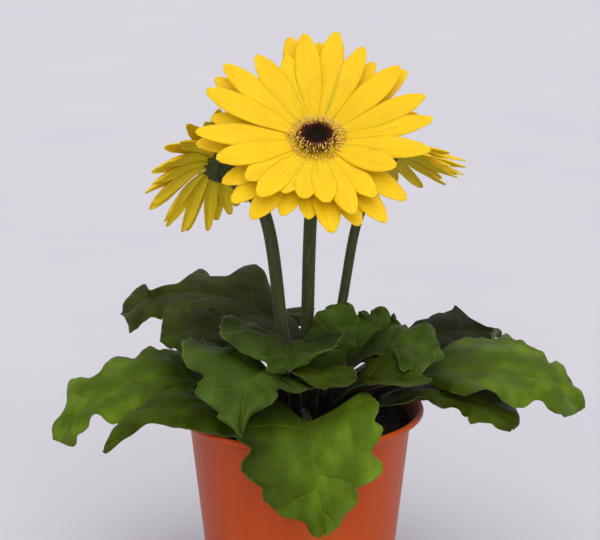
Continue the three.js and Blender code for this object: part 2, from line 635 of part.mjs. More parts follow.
// Soil: fills the pot to just below the rim, with a plain hole for each foot
function makeSoil() {
  const innerRadius = (z) => potInnerRadius(z) - SOIL_GAP;
  const edge = innerRadius(SOIL_TOP);
  const profile = [[0, WALL + SOIL_GAP], [BASE_RADIUS - WALL - 1.4, WALL + SOIL_GAP], [innerRadius(3), 3]];
  for (const share of [1, 0.85, 0.7, 0.5, 0]) profile.push([edge * share, SOIL_TOP]);
  const points = profile.map(([radius, z]) => new THREE.Vector2(radius, z));
  const lathe = new THREE.LatheGeometry(points, POT_SIDES / 2).rotateX(Math.PI / 2);
  const position = lathe.attributes.position;
  for (let i = 0; i < position.count; i += 1) {
    if (position.getZ(i) > SOIL_TOP - 1) {
      position.setZ(i, soilHeight(position.getX(i), position.getY(i)));
    }
  }
  let soil = toSolid(lathe);
  const drill = (x, y, radius) => {
    const bottom = soilHeight(x, y) - FOOT_DEPTH - SOIL_GAP;
    const hole = new THREE.CylinderGeometry(radius, radius, 20, 6).rotateX(Math.PI / 2);
    hole.translate(x, y, bottom + 10);
    soil = soil.subtract(toSolid(hole));
  };
  const hexagonShare = 1 / Math.cos(Math.PI / 6);
  for (const leaf of Object.values(LEAVES)) {
    const foot = footPoint(leaf);
    drill(foot.x, foot.y, (petioleRadius(leaf) + HOLE_PLAY) * hexagonShare);
  }
  for (const bloom of Object.values(BLOOMS)) {
    drill(bloom.stem[0][0], bloom.stem[0][1], (bloom.stemRadius + HOLE_PLAY + 0.2) * hexagonShare);
  }
  addMesh('soil', toGeometry(soil), SOIL_BROWN);
}

makePot();
makeSoil();
for (const [name, leaf] of Object.entries(LEAVES)) makeLeaf(name, leaf);
for (const [name, bloom] of Object.entries(BLOOMS)) {
  makeStem(`stem_${name}`, bloom);
  makeRays(`rays_${name}`, bloom);
  makeInnerFlorets(`inner_florets_${name}`, bloom);
  makeDisc(`disc_${name}`, bloom);
}

export default potted;
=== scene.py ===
import math
import random

import bmesh
import bpy
from mathutils import Matrix, Vector, noise


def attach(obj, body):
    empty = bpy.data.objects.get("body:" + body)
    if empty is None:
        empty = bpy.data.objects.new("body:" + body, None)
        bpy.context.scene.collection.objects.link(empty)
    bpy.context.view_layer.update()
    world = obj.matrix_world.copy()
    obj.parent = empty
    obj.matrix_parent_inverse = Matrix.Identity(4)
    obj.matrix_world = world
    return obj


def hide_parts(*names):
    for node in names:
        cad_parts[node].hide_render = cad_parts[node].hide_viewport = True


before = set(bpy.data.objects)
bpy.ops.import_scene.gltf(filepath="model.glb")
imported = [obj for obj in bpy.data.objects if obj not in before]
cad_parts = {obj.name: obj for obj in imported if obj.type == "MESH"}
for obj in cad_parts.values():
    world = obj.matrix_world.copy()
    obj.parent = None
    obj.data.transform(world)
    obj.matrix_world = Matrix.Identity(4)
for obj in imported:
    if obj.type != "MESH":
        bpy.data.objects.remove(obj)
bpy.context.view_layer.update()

# Studio. A wide sheet of pale lilac-grey paper, lit softly from above and in front, seen from a
# little above through a long lens. Everything below is modelled in millimetres.
scene = bpy.context.scene
scene.view_settings.view_transform = "Standard"


def linear(code):
    """Turns an sRGB hex colour into linear red, green, blue and alpha."""
    values = [int(code[i:i + 2], 16) / 255 for i in (1, 3, 5)]
    return tuple(v / 12.92 if v <= 0.04045 else ((v + 0.055) / 1.055) ** 2.4 for v in values) + (1.0,)


def new_material(name):
    """An empty material, and the function that adds a node to it."""
    material = bpy.data.materials.new(name)
    material.use_nodes = True
    tree = material.node_tree
    tree.nodes.clear()

    def add(kind, inputs, stops=(), **settings):
        """An input takes a value, an output to link, or a node, whose first output in use is linked.
        Stops fill a colour ramp. A colour Mix has its share at 0 and its colours at 6 and 7."""
        made = tree.nodes.new("ShaderNode" + kind)
        for key, value in settings.items():
            setattr(made, key, value)
        for key, value in inputs.items():
            if isinstance(value, bpy.types.Node):
                value = next(output for output in value.outputs if output.enabled)
            if isinstance(value, bpy.types.NodeSocket):
                tree.links.new(value, made.inputs[key])
            else:
                made.inputs[key].default_value = value
        for k, (position, code) in enumerate(stops):
            elements = made.color_ramp.elements
            stop = elements[k] if k < 2 else elements.new(position)
            stop.position, stop.color = position, linear(code)
        return made

    return material, add


def mottled(add, place, scale, detail, stops):
    """Noise over the material, as a pattern and as a colour between the stops."""
    pattern = add("TexNoise", {"Vector": place, "Scale": scale, "Detail": detail})
    return pattern, add("ValToRGB", {"Fac": pattern}, stops)


# Matt background paper: flat and even, with a faint mottle about 17 cm wide
paper, add = new_material("background_paper")
spot = add("TexCoord", {}).outputs["Object"]
_, shade = mottled(add, spot, 6.0, 3.0, [(0.3, "#c2c0c6"), (0.7, "#c6c3c8")])
add("OutputMaterial", {"Surface": add("BsdfPrincipled", {
    "Base Color": shade, "Roughness": 0.9, "Specular IOR Level": 0.2})})

bm = bmesh.new()
bmesh.ops.create_grid(bm, x_segments=8, y_segments=8, size=9.0)
sheet_mesh = bpy.data.meshes.new("floor")
bm.to_mesh(sheet_mesh)
bm.free()
sheet_mesh.materials.append(paper)
floor = bpy.data.objects.new("floor", sheet_mesh)
scene.collection.objects.link(floor)

world = bpy.data.worlds.new("studio")
scene.world = world
world.use_nodes = True
world.node_tree.nodes["Background"].inputs["Color"].default_value = linear("#e4e2ea")
world.node_tree.nodes["Background"].inputs["Strength"].default_value = 0.62

# Each soft light: where it comes from, how wide it is in degrees and how strong
SOFT_LIGHTS = {
    "key_light": ((0.06, -0.36, 1.0), 70, 1.7),
    "front_light": ((0.12, -1.0, 0.22), 70, 1.78),
    "back_light": ((0.1, 1.0, 0.9), 80, 0.5),
}
for name, (place, width, strength) in SOFT_LIGHTS.items():
    lamp = bpy.data.lights.new(name, "SUN")
    lamp.angle = math.radians(width)
    lamp.energy = strength
    light = bpy.data.objects.new(name, lamp)
    light.location = place
    light.rotation_euler = Vector(place).to_track_quat("Z", "Y").to_euler()
    scene.collection.objects.link(light)

camera_data = bpy.data.cameras.new("camera")
camera_data.sensor_width = 36
camera_data.lens = 123.6
camera = bpy.data.objects.new("camera", camera_data)
camera.location = (0, -0.9484, 0.4307)
camera.rotation_euler = (math.radians(74.9), 0, 0)
scene.collection.objects.link(camera)
scene.camera = camera


# Pot. A round nursery pot of thin orange-terracotta polypropylene, thermoformed in one piece: a
# tapered wall, a flared rim with a rolled lip, and a flat floor with five drain holes.
# The wall's outline runs up the outside from the floor's edge, over the lip and down the inside.
POT_HEIGHT = 107
POT_FLOOR = 1.3
FLOOR_PLATE_RADIUS = 36
POT_WALL = [
    (41.8, 0), (42.6, 0.35), (43.0, 1.2), (46.6, 35), (50.1, 67), (53.5, 99), (53.75, 100.2),
    (54.6, 101.2), (57.2, 102.9), (59.3, 104.1), (59.85, 104.7), (60.0, 105.5), (59.7, 106.4),
    (59.0, 106.9), (58.2, 106.95), (57.4, 106.3), (54.4, 102.6), (53.0, 101.2), (52.3, 99.6),
    (48.7, 66), (45.2, 34), (41.8, 2.6), (41.3, 1.6), (40.4, POT_FLOOR),
    (FLOOR_PLATE_RADIUS, POT_FLOOR), (FLOOR_PLATE_RADIUS, 0),
]
FIRST_POINT_INSIDE = 15
# Depth below the rim over which the inside wall darkens into painted shade
INSIDE_SHADE_BAND = 4
POT_STEPS = 120
DRAIN_HOLES = 5
DRAIN_RADIUS = 3.5
DRAIN_CIRCLE_RADIUS = 30
DRAIN_TURN = 18


UP = Vector((0, 0, 1))


def outward(angle):
    """The level direction at an angle round the upright axis."""
    return Vector((math.cos(angle), math.sin(angle), 0))


def verts_of(parts):
    """The vertices among the parts that an operator made."""
    return [part for part in parts if isinstance(part, bmesh.types.BMVert)]


def faces_at(verts):
    """The faces that meet at the vertices."""
    return list({face for vert in verts for face in vert.link_faces})


def spin_round(bm, ring, pairs, steps):
    """Turns the ring's vertices, joined by edges between the pairs, once round the upright axis."""
    edges = [bm.edges.new(pair) for pair in pairs]
    bmesh.ops.spin(bm, geom=ring + edges, cent=(0, 0, 0), axis=(0, 0, 1), angle=2 * math.pi,
                   steps=steps, use_merge=True)


def finish(bm, name, materials, node):
    """Turns millimetres into metres and places the piece: what it stands for and what it is made of."""
    bmesh.ops.scale(bm, vec=(0.001, 0.001, 0.001), verts=bm.verts)
    mesh = bpy.data.meshes.new(name)
    bm.to_mesh(mesh)
    bm.free()
    mesh.shade_smooth()
    for material in materials:
        mesh.materials.append(material)
    piece = bpy.data.objects.new(name, mesh)
    scene.collection.objects.link(piece)
    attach(piece, "root")
    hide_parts(node)


# Polypropylene: semi-gloss, with faint streaks 17 mm wide where the sheet was drawn, a fine grain and
# dust on the wall. The dust's 2.4 mm and the grain's 1.1 mm are coarser than real, so that they show.
polypropylene, add = new_material("polypropylene_terracotta")
spot = add("TexCoord", {}).outputs["Object"]
drawn = add("Mapping", {"Vector": spot, "Scale": (60, 60, 9)})
_, tint = mottled(add, drawn, 1.0, 3.0, [(0.25, "#a93f0b"), (0.5, "#b2440d"), (0.8, "#b94d11")])
dust = add("TexNoise", {"Vector": spot, "Scale": 420.0, "Detail": 4.0})
dusty = add("MapRange", {
    "Value": dust, "From Min": 0.62, "From Max": 0.75, "To Min": 0.0, "To Max": 0.22})
coloured = add("Mix", {0: dusty, 6: tint, 7: linear("#c08b53")}, data_type="RGBA")
gloss = add("MapRange", {"Value": dust, "From Min": 0.3, "From Max": 0.7, "To Min": 0.34, "To Max": 0.46})
skin = add("TexNoise", {"Vector": spot, "Scale": 900.0, "Detail": 2.0})
relief = add("Bump", {"Strength": 0.12, "Distance": 0.0002, "Height": skin})
# Below the rim the inside wall is painted dark red-brown: painted shade of the leaves over the pot
inside = add("Attribute", {}, attribute_name="inside")
inside_painted_shade = add("Mix", {0: inside.outputs["Fac"], 6: coloured, 7: linear("#2a0f08")}, data_type="RGBA")
add("OutputMaterial", {"Surface": add("BsdfPrincipled", {
    "Base Color": inside_painted_shade, "Roughness": gloss, "Specular IOR Level": 0.22,
    "Normal": relief, "Subsurface Weight": 0.06, "Subsurface Radius": (0.8, 0.25, 0.1),
    "Subsurface Scale": 0.002})})

bm = bmesh.new()
inside = bm.verts.layers.float.new("inside")
ring = [bm.verts.new((0, radius, z)) for radius, z in POT_WALL]
# The inside wall's layer rises from the rim downwards and sets how much painted shade it gets
for vert in ring[FIRST_POINT_INSIDE:]:
    if vert.co.z > POT_FLOOR + 1:
        vert[inside] = min((POT_HEIGHT + 0.3 - vert.co.z) / INSIDE_SHADE_BAND, 0.95)
spin_round(bm, ring, zip(ring, ring[1:] + ring[:1]), POT_STEPS)
bmesh.ops.recalc_face_normals(bm, faces=bm.faces)
rims = bmesh.ops.create_circle(bm, radius=FLOOR_PLATE_RADIUS, segments=POT_STEPS)["verts"]
for i in range(DRAIN_HOLES):
    angle = 2 * math.pi * i / DRAIN_HOLES + math.radians(DRAIN_TURN)
    place = Matrix.Translation(outward(angle) * DRAIN_CIRCLE_RADIUS)
    rims += bmesh.ops.create_circle(bm, radius=DRAIN_RADIUS, segments=24, matrix=place)["verts"]
outlines = list({edge for vert in rims for edge in vert.link_edges})
filled = bmesh.ops.triangle_fill(bm, edges=outlines, use_beauty=True)["geom"]
plate = [part for part in filled if isinstance(part, bmesh.types.BMFace)]
raised = bmesh.ops.extrude_face_region(bm, geom=plate, use_keep_orig=True)["geom"]
bmesh.ops.translate(bm, vec=UP * POT_FLOOR, verts=verts_of(raised))
bmesh.ops.recalc_face_normals(bm, faces=faces_at(rims + verts_of(raised)))
finish(bm, "flower_pot", [polypropylene], "pot")


# Soil. Damp dark peat with bark crumbs and fibres, filled to just below the rim and mounded a
# little to the crown of the plant.
SOIL_TOP = 99.5
SOIL_RADIUS = 51.9
SOIL_FOOT_RADIUS = 40.2
SOIL_MOUND = 2.2
MOUND_RADIUS = 50
SOIL_SQUARES = 72
SOIL_CRUMBS = 420
CRUMB_SIZES = (0.5, 0.7, 0.9, 1.3, 1.8)
STREWN_RADIUS = 50
SOIL_FIBRES = 70
FIBRE_SECTION = (0.35, 0.3)


def soil_height(x, y):
    """Height of the soil, mounded to the crown and rough all over."""
    mound = SOIL_MOUND * math.cos(min(math.hypot(x, y) / MOUND_RADIUS, 1) * math.pi / 2)
    rough = 0.5 * math.sin(0.31 * x + 1.3) * math.cos(0.27 * y) + 0.35 * math.sin(0.53 * y - 0.4 * x)
    return SOIL_TOP + mound + rough


# Peat: matt and nearly black, dark as damp peat and darker still as painted shade under the leaves, with
# brown crumbs about 3 mm and grains about 2 mm across
peat, add = new_material("damp_peat")
spot = add("TexCoord", {}).outputs["Object"]
crumbs = add("TexVoronoi", {"Vector": spot, "Scale": 330.0})
grains = add("TexNoise", {"Vector": spot, "Scale": 500.0, "Detail": 6.0})
damp = add("Mix", {0: 0.45, 6: crumbs.outputs["Color"], 7: grains.outputs["Color"]}, data_type="RGBA")
# The darkest stops are partly painted shade under the leaves
brown = add("ValToRGB", {"Fac": damp}, [(0.25, "#080504"), (0.55, "#150d0a"), (0.8, "#281a13")])
heaped = add("Bump", {"Strength": 0.9, "Distance": 0.001, "Height": grains})
add("OutputMaterial", {"Surface": add("BsdfPrincipled", {
    "Base Color": brown, "Roughness": 0.92, "Specular IOR Level": 0.3,
    "Normal": heaped})})

random.seed(5)
bm = bmesh.new()
bmesh.ops.create_grid(bm, x_segments=SOIL_SQUARES, y_segments=SOIL_SQUARES, size=1.0)
for vert in bm.verts:
    x, y = vert.co.x, vert.co.y
    reach = max(abs(x), abs(y))
    share = reach / (math.hypot(x, y) or 1)
    x, y = x * share * SOIL_RADIUS, y * share * SOIL_RADIUS
    lump = 0.9 * noise.noise(Vector((x, y, 0)) * 0.35) + 0.5 * noise.noise(Vector((x, y, 7)) * 0.9)
    vert.co = (x, y, soil_height(x, y) + (lump if reach < 0.97 else -0.4))
border = [edge for edge in bm.edges if edge.is_boundary]
skirt = bmesh.ops.extrude_edge_only(bm, edges=border)["geom"]
for vert in verts_of(skirt):
    ratio = SOIL_FOOT_RADIUS / math.hypot(vert.co.x, vert.co.y)
    vert.co = (vert.co.x * ratio, vert.co.y * ratio, POT_FLOOR + 0.4)
bmesh.ops.contextual_create(bm, geom=[edge for edge in bm.edges if edge.is_boundary])
bmesh.ops.recalc_face_normals(bm, faces=bm.faces)


def strewn(radius):
    """A place anywhere on the soil within the radius, lying on its surface."""
    place = radius * math.sqrt(random.random()) * outward(random.uniform(0, 2 * math.pi))
    return Vector((place.x, place.y, soil_height(place.x, place.y)))


for i in range(SOIL_CRUMBS):
    place = strewn(STREWN_RADIUS)
    size = random.choice(CRUMB_SIZES)
    turned = Matrix.Rotation(random.uniform(0, 6), 4, Vector((random.random(), random.random(), 0.4)))
    squeezed = Matrix.Diagonal((size, size * random.uniform(0.6, 1), size * random.uniform(0.5, 0.8), 1))
    laid = Matrix.Translation(place + UP * 0.2 * size) @ turned @ squeezed
    bmesh.ops.create_icosphere(bm, subdivisions=1, radius=1.0, matrix=laid)
for i in range(SOIL_FIBRES):
    place = strewn(STREWN_RADIUS - 1)
    heading, slope = random.uniform(0, 3.1), random.uniform(-0.3, 0.3)
    lying = Matrix.Rotation(heading, 4, "Z") @ Matrix.Rotation(slope, 4, "Y")
    slim = Matrix.Diagonal((random.uniform(3, 7), *FIBRE_SECTION, 1))
    laid = Matrix.Translation(place + UP * 0.5) @ lying @ slim
    bmesh.ops.create_cube(bm, size=1.0, matrix=laid)
finish(bm, "potting_soil", [peat], "soil")


# Leaves. A rosette of soft, lobed leaves, each grown as one piece: a fleshy petiole from the crown
# that runs on as the midrib under a thin, waved blade with sunken side veins.
PETIOLE_RADIUS = 2.1
SLIM_PETIOLE_RADIUS = 1.64
PETIOLE_RINGS = 30
PETIOLE_SIDES = 12
PETIOLE_DEPTH = 9
BLADE_THICKNESS = 0.55
BLADE_SQUARES = (36, 96)
SMALL_BLADE_SQUARES = (20, 40)
LOBES_ALONG = 3.6
RUFFLES_ALONG = 2.3
VEIN_SWEEP = 0.55
VEIN_OFFSET = 0.18

# Half widths of the blade below which a leaf has a slim petiole, and a coarser mesh
SLIM_BELOW = 15
SMALL_BELOW = 12

# How far the blade lifts between the midrib and the edge, between the veins, and at random
BELLY = 0.9
PILLOW = 2.2
CRUMPLE = 0.8
YOUNG_CRUMPLE = 1.6

# Each leaf leaves the soil at its foot (angle, radius), rises, leans to its heading, passes through mid
# and ends at the tip. Its blade starts at a share of that way, half is half its width, and the edges
# give shares of half at places along the blade, right-hand edge first seen from the foot, both in
# hundredths. Roll tilts the blade, cup and wave lift its edges, phase shifts its lobes and veins, heart
# draws its base back beside the petiole, and the pair of light shares makes each half paler as painted
# light, or darker as painted shade where below 0.
MID_AT = 0.62
LEAVES = {
    "leaf_left_wide": dict(
        foot=(178, 19), heading=184, rise=22, lean=14, mid=(-80, -5, 120), tip=(-117, -12, 93),
        half=31, start=0.3, roll=-20, cup=-0.05, wave=2.4, phase=0.1, top="sunlit", painted_light=(0.05, 0.05),
        edges=(
            "0 30, 15 48, 19 70, 23 90, 27 84, 30 78, 35 104, 38 100, 41 82, 44 70, 47 76, 51 92, 54 88, "
            "57 68, 62 46, 68 56, 73 76, 76 86, 80 94, 84 72, 89 42, 94 46, 97 44, 99 32, 100 8",
            "0 16, 9 24, 15 36, 22 38, 30 50, 35 58, 39 84, 47 88, 55 78, 65 70, 69 60, 71 44, 76 50, "
            "83 56, 92 48, 97 36, 99 22, 100 8")),
    "leaf_left_under": dict(
        foot=(207, 22), heading=212, rise=16, lean=10, mid=(-58, -36, 118), tip=(-90, -53, 101.5),
        half=22, start=0.12, roll=-15, cup=-0.12, wave=1.2, phase=0.4, painted_light=(0.15, 0.15),
        edges=(
            "0 40, 30 70, 60 70, 78 56, 86 42, 93 22, 98 14, 100 2",
            "0 90, 10 124, 20 136, 32 124, 43 106, 48 94, 54 78, 61 74, 66 56, 70 32, 74 16, 80 8, 90 5, "
            "100 2")),
    "leaf_back_left": dict(
        foot=(78, 16), heading=174, rise=58, lean=-4, mid=(-48, 37, 153), tip=(-88, 44, 139),
        half=29, start=0.22, roll=-11, cup=0.02, wave=3, phase=0.7, top="shaded", painted_light=(0.1, 0.1),
        edges=(
            "0 60, 18 84, 30 100, 35 110, 40 124, 43 112, 46 68, 50 68, 55 84, 60 106, 63 98, 65 44, "
            "69 28, 73 14, 77 4, 80 10, 83 44, 88 76, 92 80, 96 76, 98 56, 100 20",
            "0 50, 20 84, 40 96, 55 92, 66 84, 73 66, 79 70, 84 76, 88 102, 92 138, 95 112, 98 50, "
            "100 10")),
    "leaf_back_tall": dict(
        foot=(106, 21), heading=108, rise=34, lean=6, mid=(-16, 62, 132), tip=(-25, 96, 118),
        half=27, start=0.36, roll=0, cup=0, wave=2.2, lobes=0.28, phase=0.2, top="shaded"),
    "leaf_left_inner": dict(
        foot=(166, 13), heading=182, rise=44, lean=2, mid=(-43, -3, 146), tip=(-66, -5, 141),
        half=19, start=0.3, roll=-16, cup=-0.02, wave=1.8, phase=0.5, painted_light=(-0.45, -0.45),
        edges=(
            "0 40, 20 76, 38 94, 54 88, 62 104, 72 122, 81 120, 90 100, 95 84, 98 60, 100 20",
            "0 50, 20 90, 40 106, 50 102, 59 112, 69 108, 76 96, 82 76, 88 54, 95 40, 98 24, 100 8")),
    "leaf_front_left": dict(
        foot=(237, 17), heading=254, rise=42, lean=2, mid=(-21, -44, 137), tip=(-27.3, -66, 114),
        half=33, start=0.27, roll=-22, cup=-0.04, wave=2, phase=0.3, top="young", painted_light=(-0.2, 0.4),
        edges=(
            "0 90, 12 100, 21 108, 29 94, 38 108, 48 114, 57 104, 63 92, 66 78, 68 64, 72 68, 78 68, "
            "82 56, 85 38, 87 32, 90 33, 93 22, 97 8, 100 2",
            "0 78, 12 84, 25 80, 36 76, 42 66, 46 50, 50 42, 55 40, 62 43, 69 42, 75 36, 81 26, 85 15, "
            "90 10, 95 6, 100 2")),
    "leaf_front_upper": dict(
        foot=(258, 9.5), heading=266, rise=47, lean=2, mid=(-5.5, -28, 146), tip=(-5, -49, 139.5),
        half=31, start=0.34, roll=-6, cup=0.3, wave=1.6, phase=0.8, top="young", painted_light=(-0.45, -0.45),
        edges=(
            "0 70, 10 84, 22 100, 33 94, 42 104, 54 106, 64 103, 72 104, 78 98, 81 84, 84 74, 87 68, "
            "89 50, 90 34, 92 32, 95 34, 98 26, 99 18, 100 6",
            "0 50, 12 64, 24 76, 34 72, 45 82, 56 78, 62 74, 68 75, 76 70, 82 64, 87 62, 90 58, 92 42, "
            "94 32, 96 32, 98 24, 99 16, 100 6")),
    "leaf_front_under": dict(
        foot=(291, 15), heading=284, rise=38, lean=2, mid=(9, -36, 137), tip=(11, -53, 132.5),
        half=15, start=0.36, roll=-4, cup=0.1, wave=1, phase=0.6,
        edges=(
            "0 60, 15 90, 30 100, 50 104, 65 96, 78 86, 88 66, 95 42, 99 20, 100 8",
            "0 60, 15 86, 30 92, 42 84, 52 98, 66 108, 78 104, 88 84, 95 56, 99 24, 100 8")),
    "leaf_front_hanging": dict(
        foot=(272, 21), heading=276, rise=28, lean=12, mid=(6, -64, 107), tip=(11, -69, 69),
        half=34, start=0.42, roll=8, cup=0.1, wave=2.2, phase=0.25, top="sunlit", painted_light=(-0.4, 0.9),
        heart=20,
        edges=(
            "0 30, 3 46, 7 66, 12 84, 18 92, 23 98, 29 101, 31 92, 33 83, 35 85, 39 95, 43 101, 48 96, "
            "54 88, 58 80, 60 75, 64 76, 71 75, 78 66, 83 57, 86 50, 88 40, 91 28, 94 22, 97 18, 99 12, "
            "100 6",
            "0 80, 5 88, 12 93, 22 97, 27 97, 29 91, 31 88, 33 92, 36 97, 39 94, 42 84, 45 78, 49 82, "
            "54 89, 58 90, 62 84, 65 74, 67 60, 69 52, 74 53, 79 49, 83 42, 88 34, 93 27, 97 20, 99 13, "
            "100 6")),
    "leaf_right_inner": dict(
        foot=(344, 14), heading=350, rise=44, lean=4, mid=(48, -10, 141), tip=(65, -13, 134),
        half=22, start=0.36, roll=18, cup=-0.04, wave=1.6, phase=0.45, top="young",
        edges=(
            "0 16, 20 26, 30 30, 35 42, 39 66, 44 94, 52 102, 60 92, 66 98, 74 84, 82 96, 90 88, 95 62, "
            "98 38, 100 8",
            "0 50, 10 80, 17 80, 26 74, 34 85, 40 84, 46 68, 51 76, 57 72, 66 84, 72 70, 79 64, 86 62, "
            "92 52, 98 34, 100 8")),
    "leaf_right_cupped": dict(
        foot=(325, 17.5), heading=340, rise=28, lean=6, mid=(41, -30, 128.5), tip=(61, -35, 131),
        half=17, start=0.2, roll=8, cup=0.4, wave=0.6, phase=0.2,
        edges=(
            "0 6, 15 10, 28 26, 40 48, 55 70, 72 78, 86 62, 94 38, 98 22, 100 6",
            "0 60, 12 88, 24 106, 36 110, 46 98, 56 68, 68 46, 80 36, 90 26, 97 16, 100 6")),
    "leaf_right_wide": dict(
        foot=(357, 21), heading=354, rise=22, lean=12, mid=(93, -15, 129), tip=(133, -22, 112),
        half=33, start=0.3, roll=12, cup=0, wave=2.4, phase=0.55, top="sunlit",
        edges=(
            "0 8, 12 12, 18 24, 22 40, 27 60, 32 70, 37 80, 41 79, 44 70, 47 68, 51 82, 55 93, 58 91, "
            "62 78, 66 64, 68 56, 71 54, 75 58, 79 68, 83 79, 88 76, 94 46, 98 22, 100 6",
            "0 14, 12 40, 22 84, 30 112, 37 110, 40 106, 43 114, 46 130, 49 116, 52 97, 55 91, 58 81, "
            "62 75, 66 66, 69 54, 71 52, 74 74, 77 80, 80 70, 83 52, 88 42, 92 42, 95 36, 98 20, 100 6")),
    "leaf_right_back": dict(
        foot=(18, 21), heading=22, rise=38, lean=10, mid=(75, 36, 133), tip=(100, 41, 128),
        half=22, start=0.32, roll=14, cup=0.04, wave=0.9, phase=0.4, painted_light=(-0.8, -0.8), top="shaded",
        slot="leaf_green",
        edges=(
            "0 60, 20 84, 40 96, 55 100, 70 100, 84 84, 92 60, 97 34, 100 6",
            "0 30, 12 40, 22 50, 30 62, 36 66, 47 86, 54 90, 59 98, 62 112, 64 96, 66 60, 69 30, 74 14, "
            "79 20, 85 46, 90 60, 94 50, 98 28, 100 6")),
    "leaf_right_under": dict(
        foot=(317, 22.5), heading=334, rise=16, lean=14, mid=(68, -25, 119), tip=(99, -45, 110.5),
        half=22, start=0.3, roll=4, cup=0, wave=1.4, phase=0.8,
        edges=(
            "0 20, 20 26, 33 24, 38 34, 43 48, 48 44, 52 22, 57 30, 65 56, 73 78, 80 92, 85 86, 88 66, "
            "92 44, 96 34, 98 18, 100 4",
            "0 70, 14 92, 25 106, 45 116, 60 118, 72 104, 82 74, 90 48, 95 34, 98 20, 100 5")),
    "leaf_back_middle": dict(
        foot=(82, 22), heading=76, rise=26, lean=10, mid=(14, 66, 122), tip=(20, 102, 103),
        half=26, start=0.34, roll=0, cup=-0.04, wave=2, lobes=0.3, phase=0.65),
    "leaf_back_right": dict(
        foot=(42, 23), heading=44, rise=22, lean=12, mid=(54, 56, 119), tip=(82, 78, 101),
        half=25, start=0.34, roll=0, cup=-0.04, wave=2, lobes=0.3, phase=0.05),
    "leaf_back_low": dict(
        foot=(136, 23), heading=138, rise=18, lean=12, mid=(-48, 56, 117), tip=(-77, 82, 101),
        half=25, start=0.34, roll=0, cup=-0.04, wave=2, lobes=0.3, phase=0.9),
    "leaf_young_dark": dict(
        foot=(332, 8.5), heading=98, rise=30, lean=0, mid=(16, -4, 144), tip=(21, 1, 158),
        half=12.5, start=0.12, roll=0, cup=-0.1, wave=1.6, lobes=0.2, phase=0.3, top="young",
        slot="leaf_dark"),
    "leaf_young_round": dict(
        foot=(18, 11.2), heading=90, rise=28, lean=0, mid=(32, 13, 140), tip=(35, 16, 150),
        half=8.6, start=0.2, roll=0, cup=0.1, wave=0.8, lobes=0.14, phase=0.1, top="young"),
    "leaf_young_tall": dict(
        foot=(44, 12), heading=90, rise=28, lean=0, mid=(26, 17, 138), tip=(29, 20, 148),
        half=5.6, start=0.3, roll=0, cup=0.1, wave=0.4, lobes=0.12, phase=0.6, top="young"),
    "leaf_young_pointed": dict(
        foot=(38, 18), heading=10, rise=34, lean=2, mid=(39, 21, 137), tip=(46, 24, 146),
        half=13, start=0.16, roll=20, cup=0.1, wave=1.2, lobes=0.2, phase=0.4, top="young", point=0.9),
}


def lerp(low, high, share):
    """The value that lies a share of the way from low to high."""
    return low + (high - low) * share


def smoothstep(value, low, high):
    """Rises smoothly from 0 at low to 1 at high."""
    share = min(max((value - low) / (high - low), 0), 1)
    return share * share * (3 - 2 * share)


def rolled(side, up, angle):
    """Two directions at right angles, turned by the angle from side towards up."""
    return side * math.cos(angle) + up * math.sin(angle), up * math.cos(angle) - side * math.sin(angle)


def eased(start, end, leave, arrive, t):
    """A smooth curve from start, left in the direction leave, to end, reached in the direction arrive."""
    return (start * (1 - 3 * t ** 2 + 2 * t ** 3) + end * (3 * t ** 2 - 2 * t ** 3)
            + leave * (t - 2 * t ** 2 + t ** 3) + arrive * (t ** 3 - t ** 2))


def midrib_points(leaf):
    """Four control points of the midrib, which leaves the soil straight up and passes through mid."""
    angle, radius = math.radians(leaf["foot"][0]), leaf["foot"][1]
    x, y = radius * math.cos(angle), radius * math.sin(angle)
    start = Vector((x, y, soil_height(x, y) + 1))
    second = start + outward(math.radians(leaf["heading"])) * leaf["lean"] + UP * leaf["rise"]
    tip, rest = Vector(leaf["tip"]), 1 - MID_AT
    third = Vector(leaf["mid"]) - start * rest ** 3 - second * 3 * rest * rest * MID_AT - tip * MID_AT ** 3
    return start, second, third / (3 * rest * MID_AT * MID_AT), tip


def midrib_at(points, s):
    """Point and direction at s along the midrib."""
    a, b, c, d = points
    rest = 1 - s
    point = a * rest ** 3 + b * 3 * rest * rest * s + c * 3 * rest * s * s + d * s ** 3
    way = (b - a) * rest * rest + (c - b) * 2 * rest * s + (d - c) * s * s
    return point, way.normalized()


def leaf_axes(leaf, way, roll_share):
    """The blade's own sideways and upward directions, where the midrib runs along way."""
    up = way.cross(outward(math.radians(leaf["heading"] + 90))).normalized()
    side = up.cross(way).normalized()
    return rolled(side, up, math.radians(leaf["roll"]) * roll_share)


def edge_curve(text):
    """Places along the blade and half widths there, both as shares, from a list written in hundredths."""
    return [tuple(float(number) / 100 for number in pair.split()) for pair in text.split(",")]


def edge_share(edge, t):
    """Half width at t, from a smooth curve through the edge's points."""
    k = max(min(sum(place <= t for place, _ in edge), len(edge) - 1), 1)
    (t0, w0), (t1, w1) = edge[k - 1], edge[k]
    before, after = edge[max(k - 2, 0)], edge[min(k + 1, len(edge) - 1)]
    leave = (w1 - before[1]) / (t1 - before[0]) * (t1 - t0)
    arrive = (after[1] - w0) / (after[0] - t0) * (t1 - t0)
    return eased(w0, w1, leave, arrive, (t - t0) / (t1 - t0))


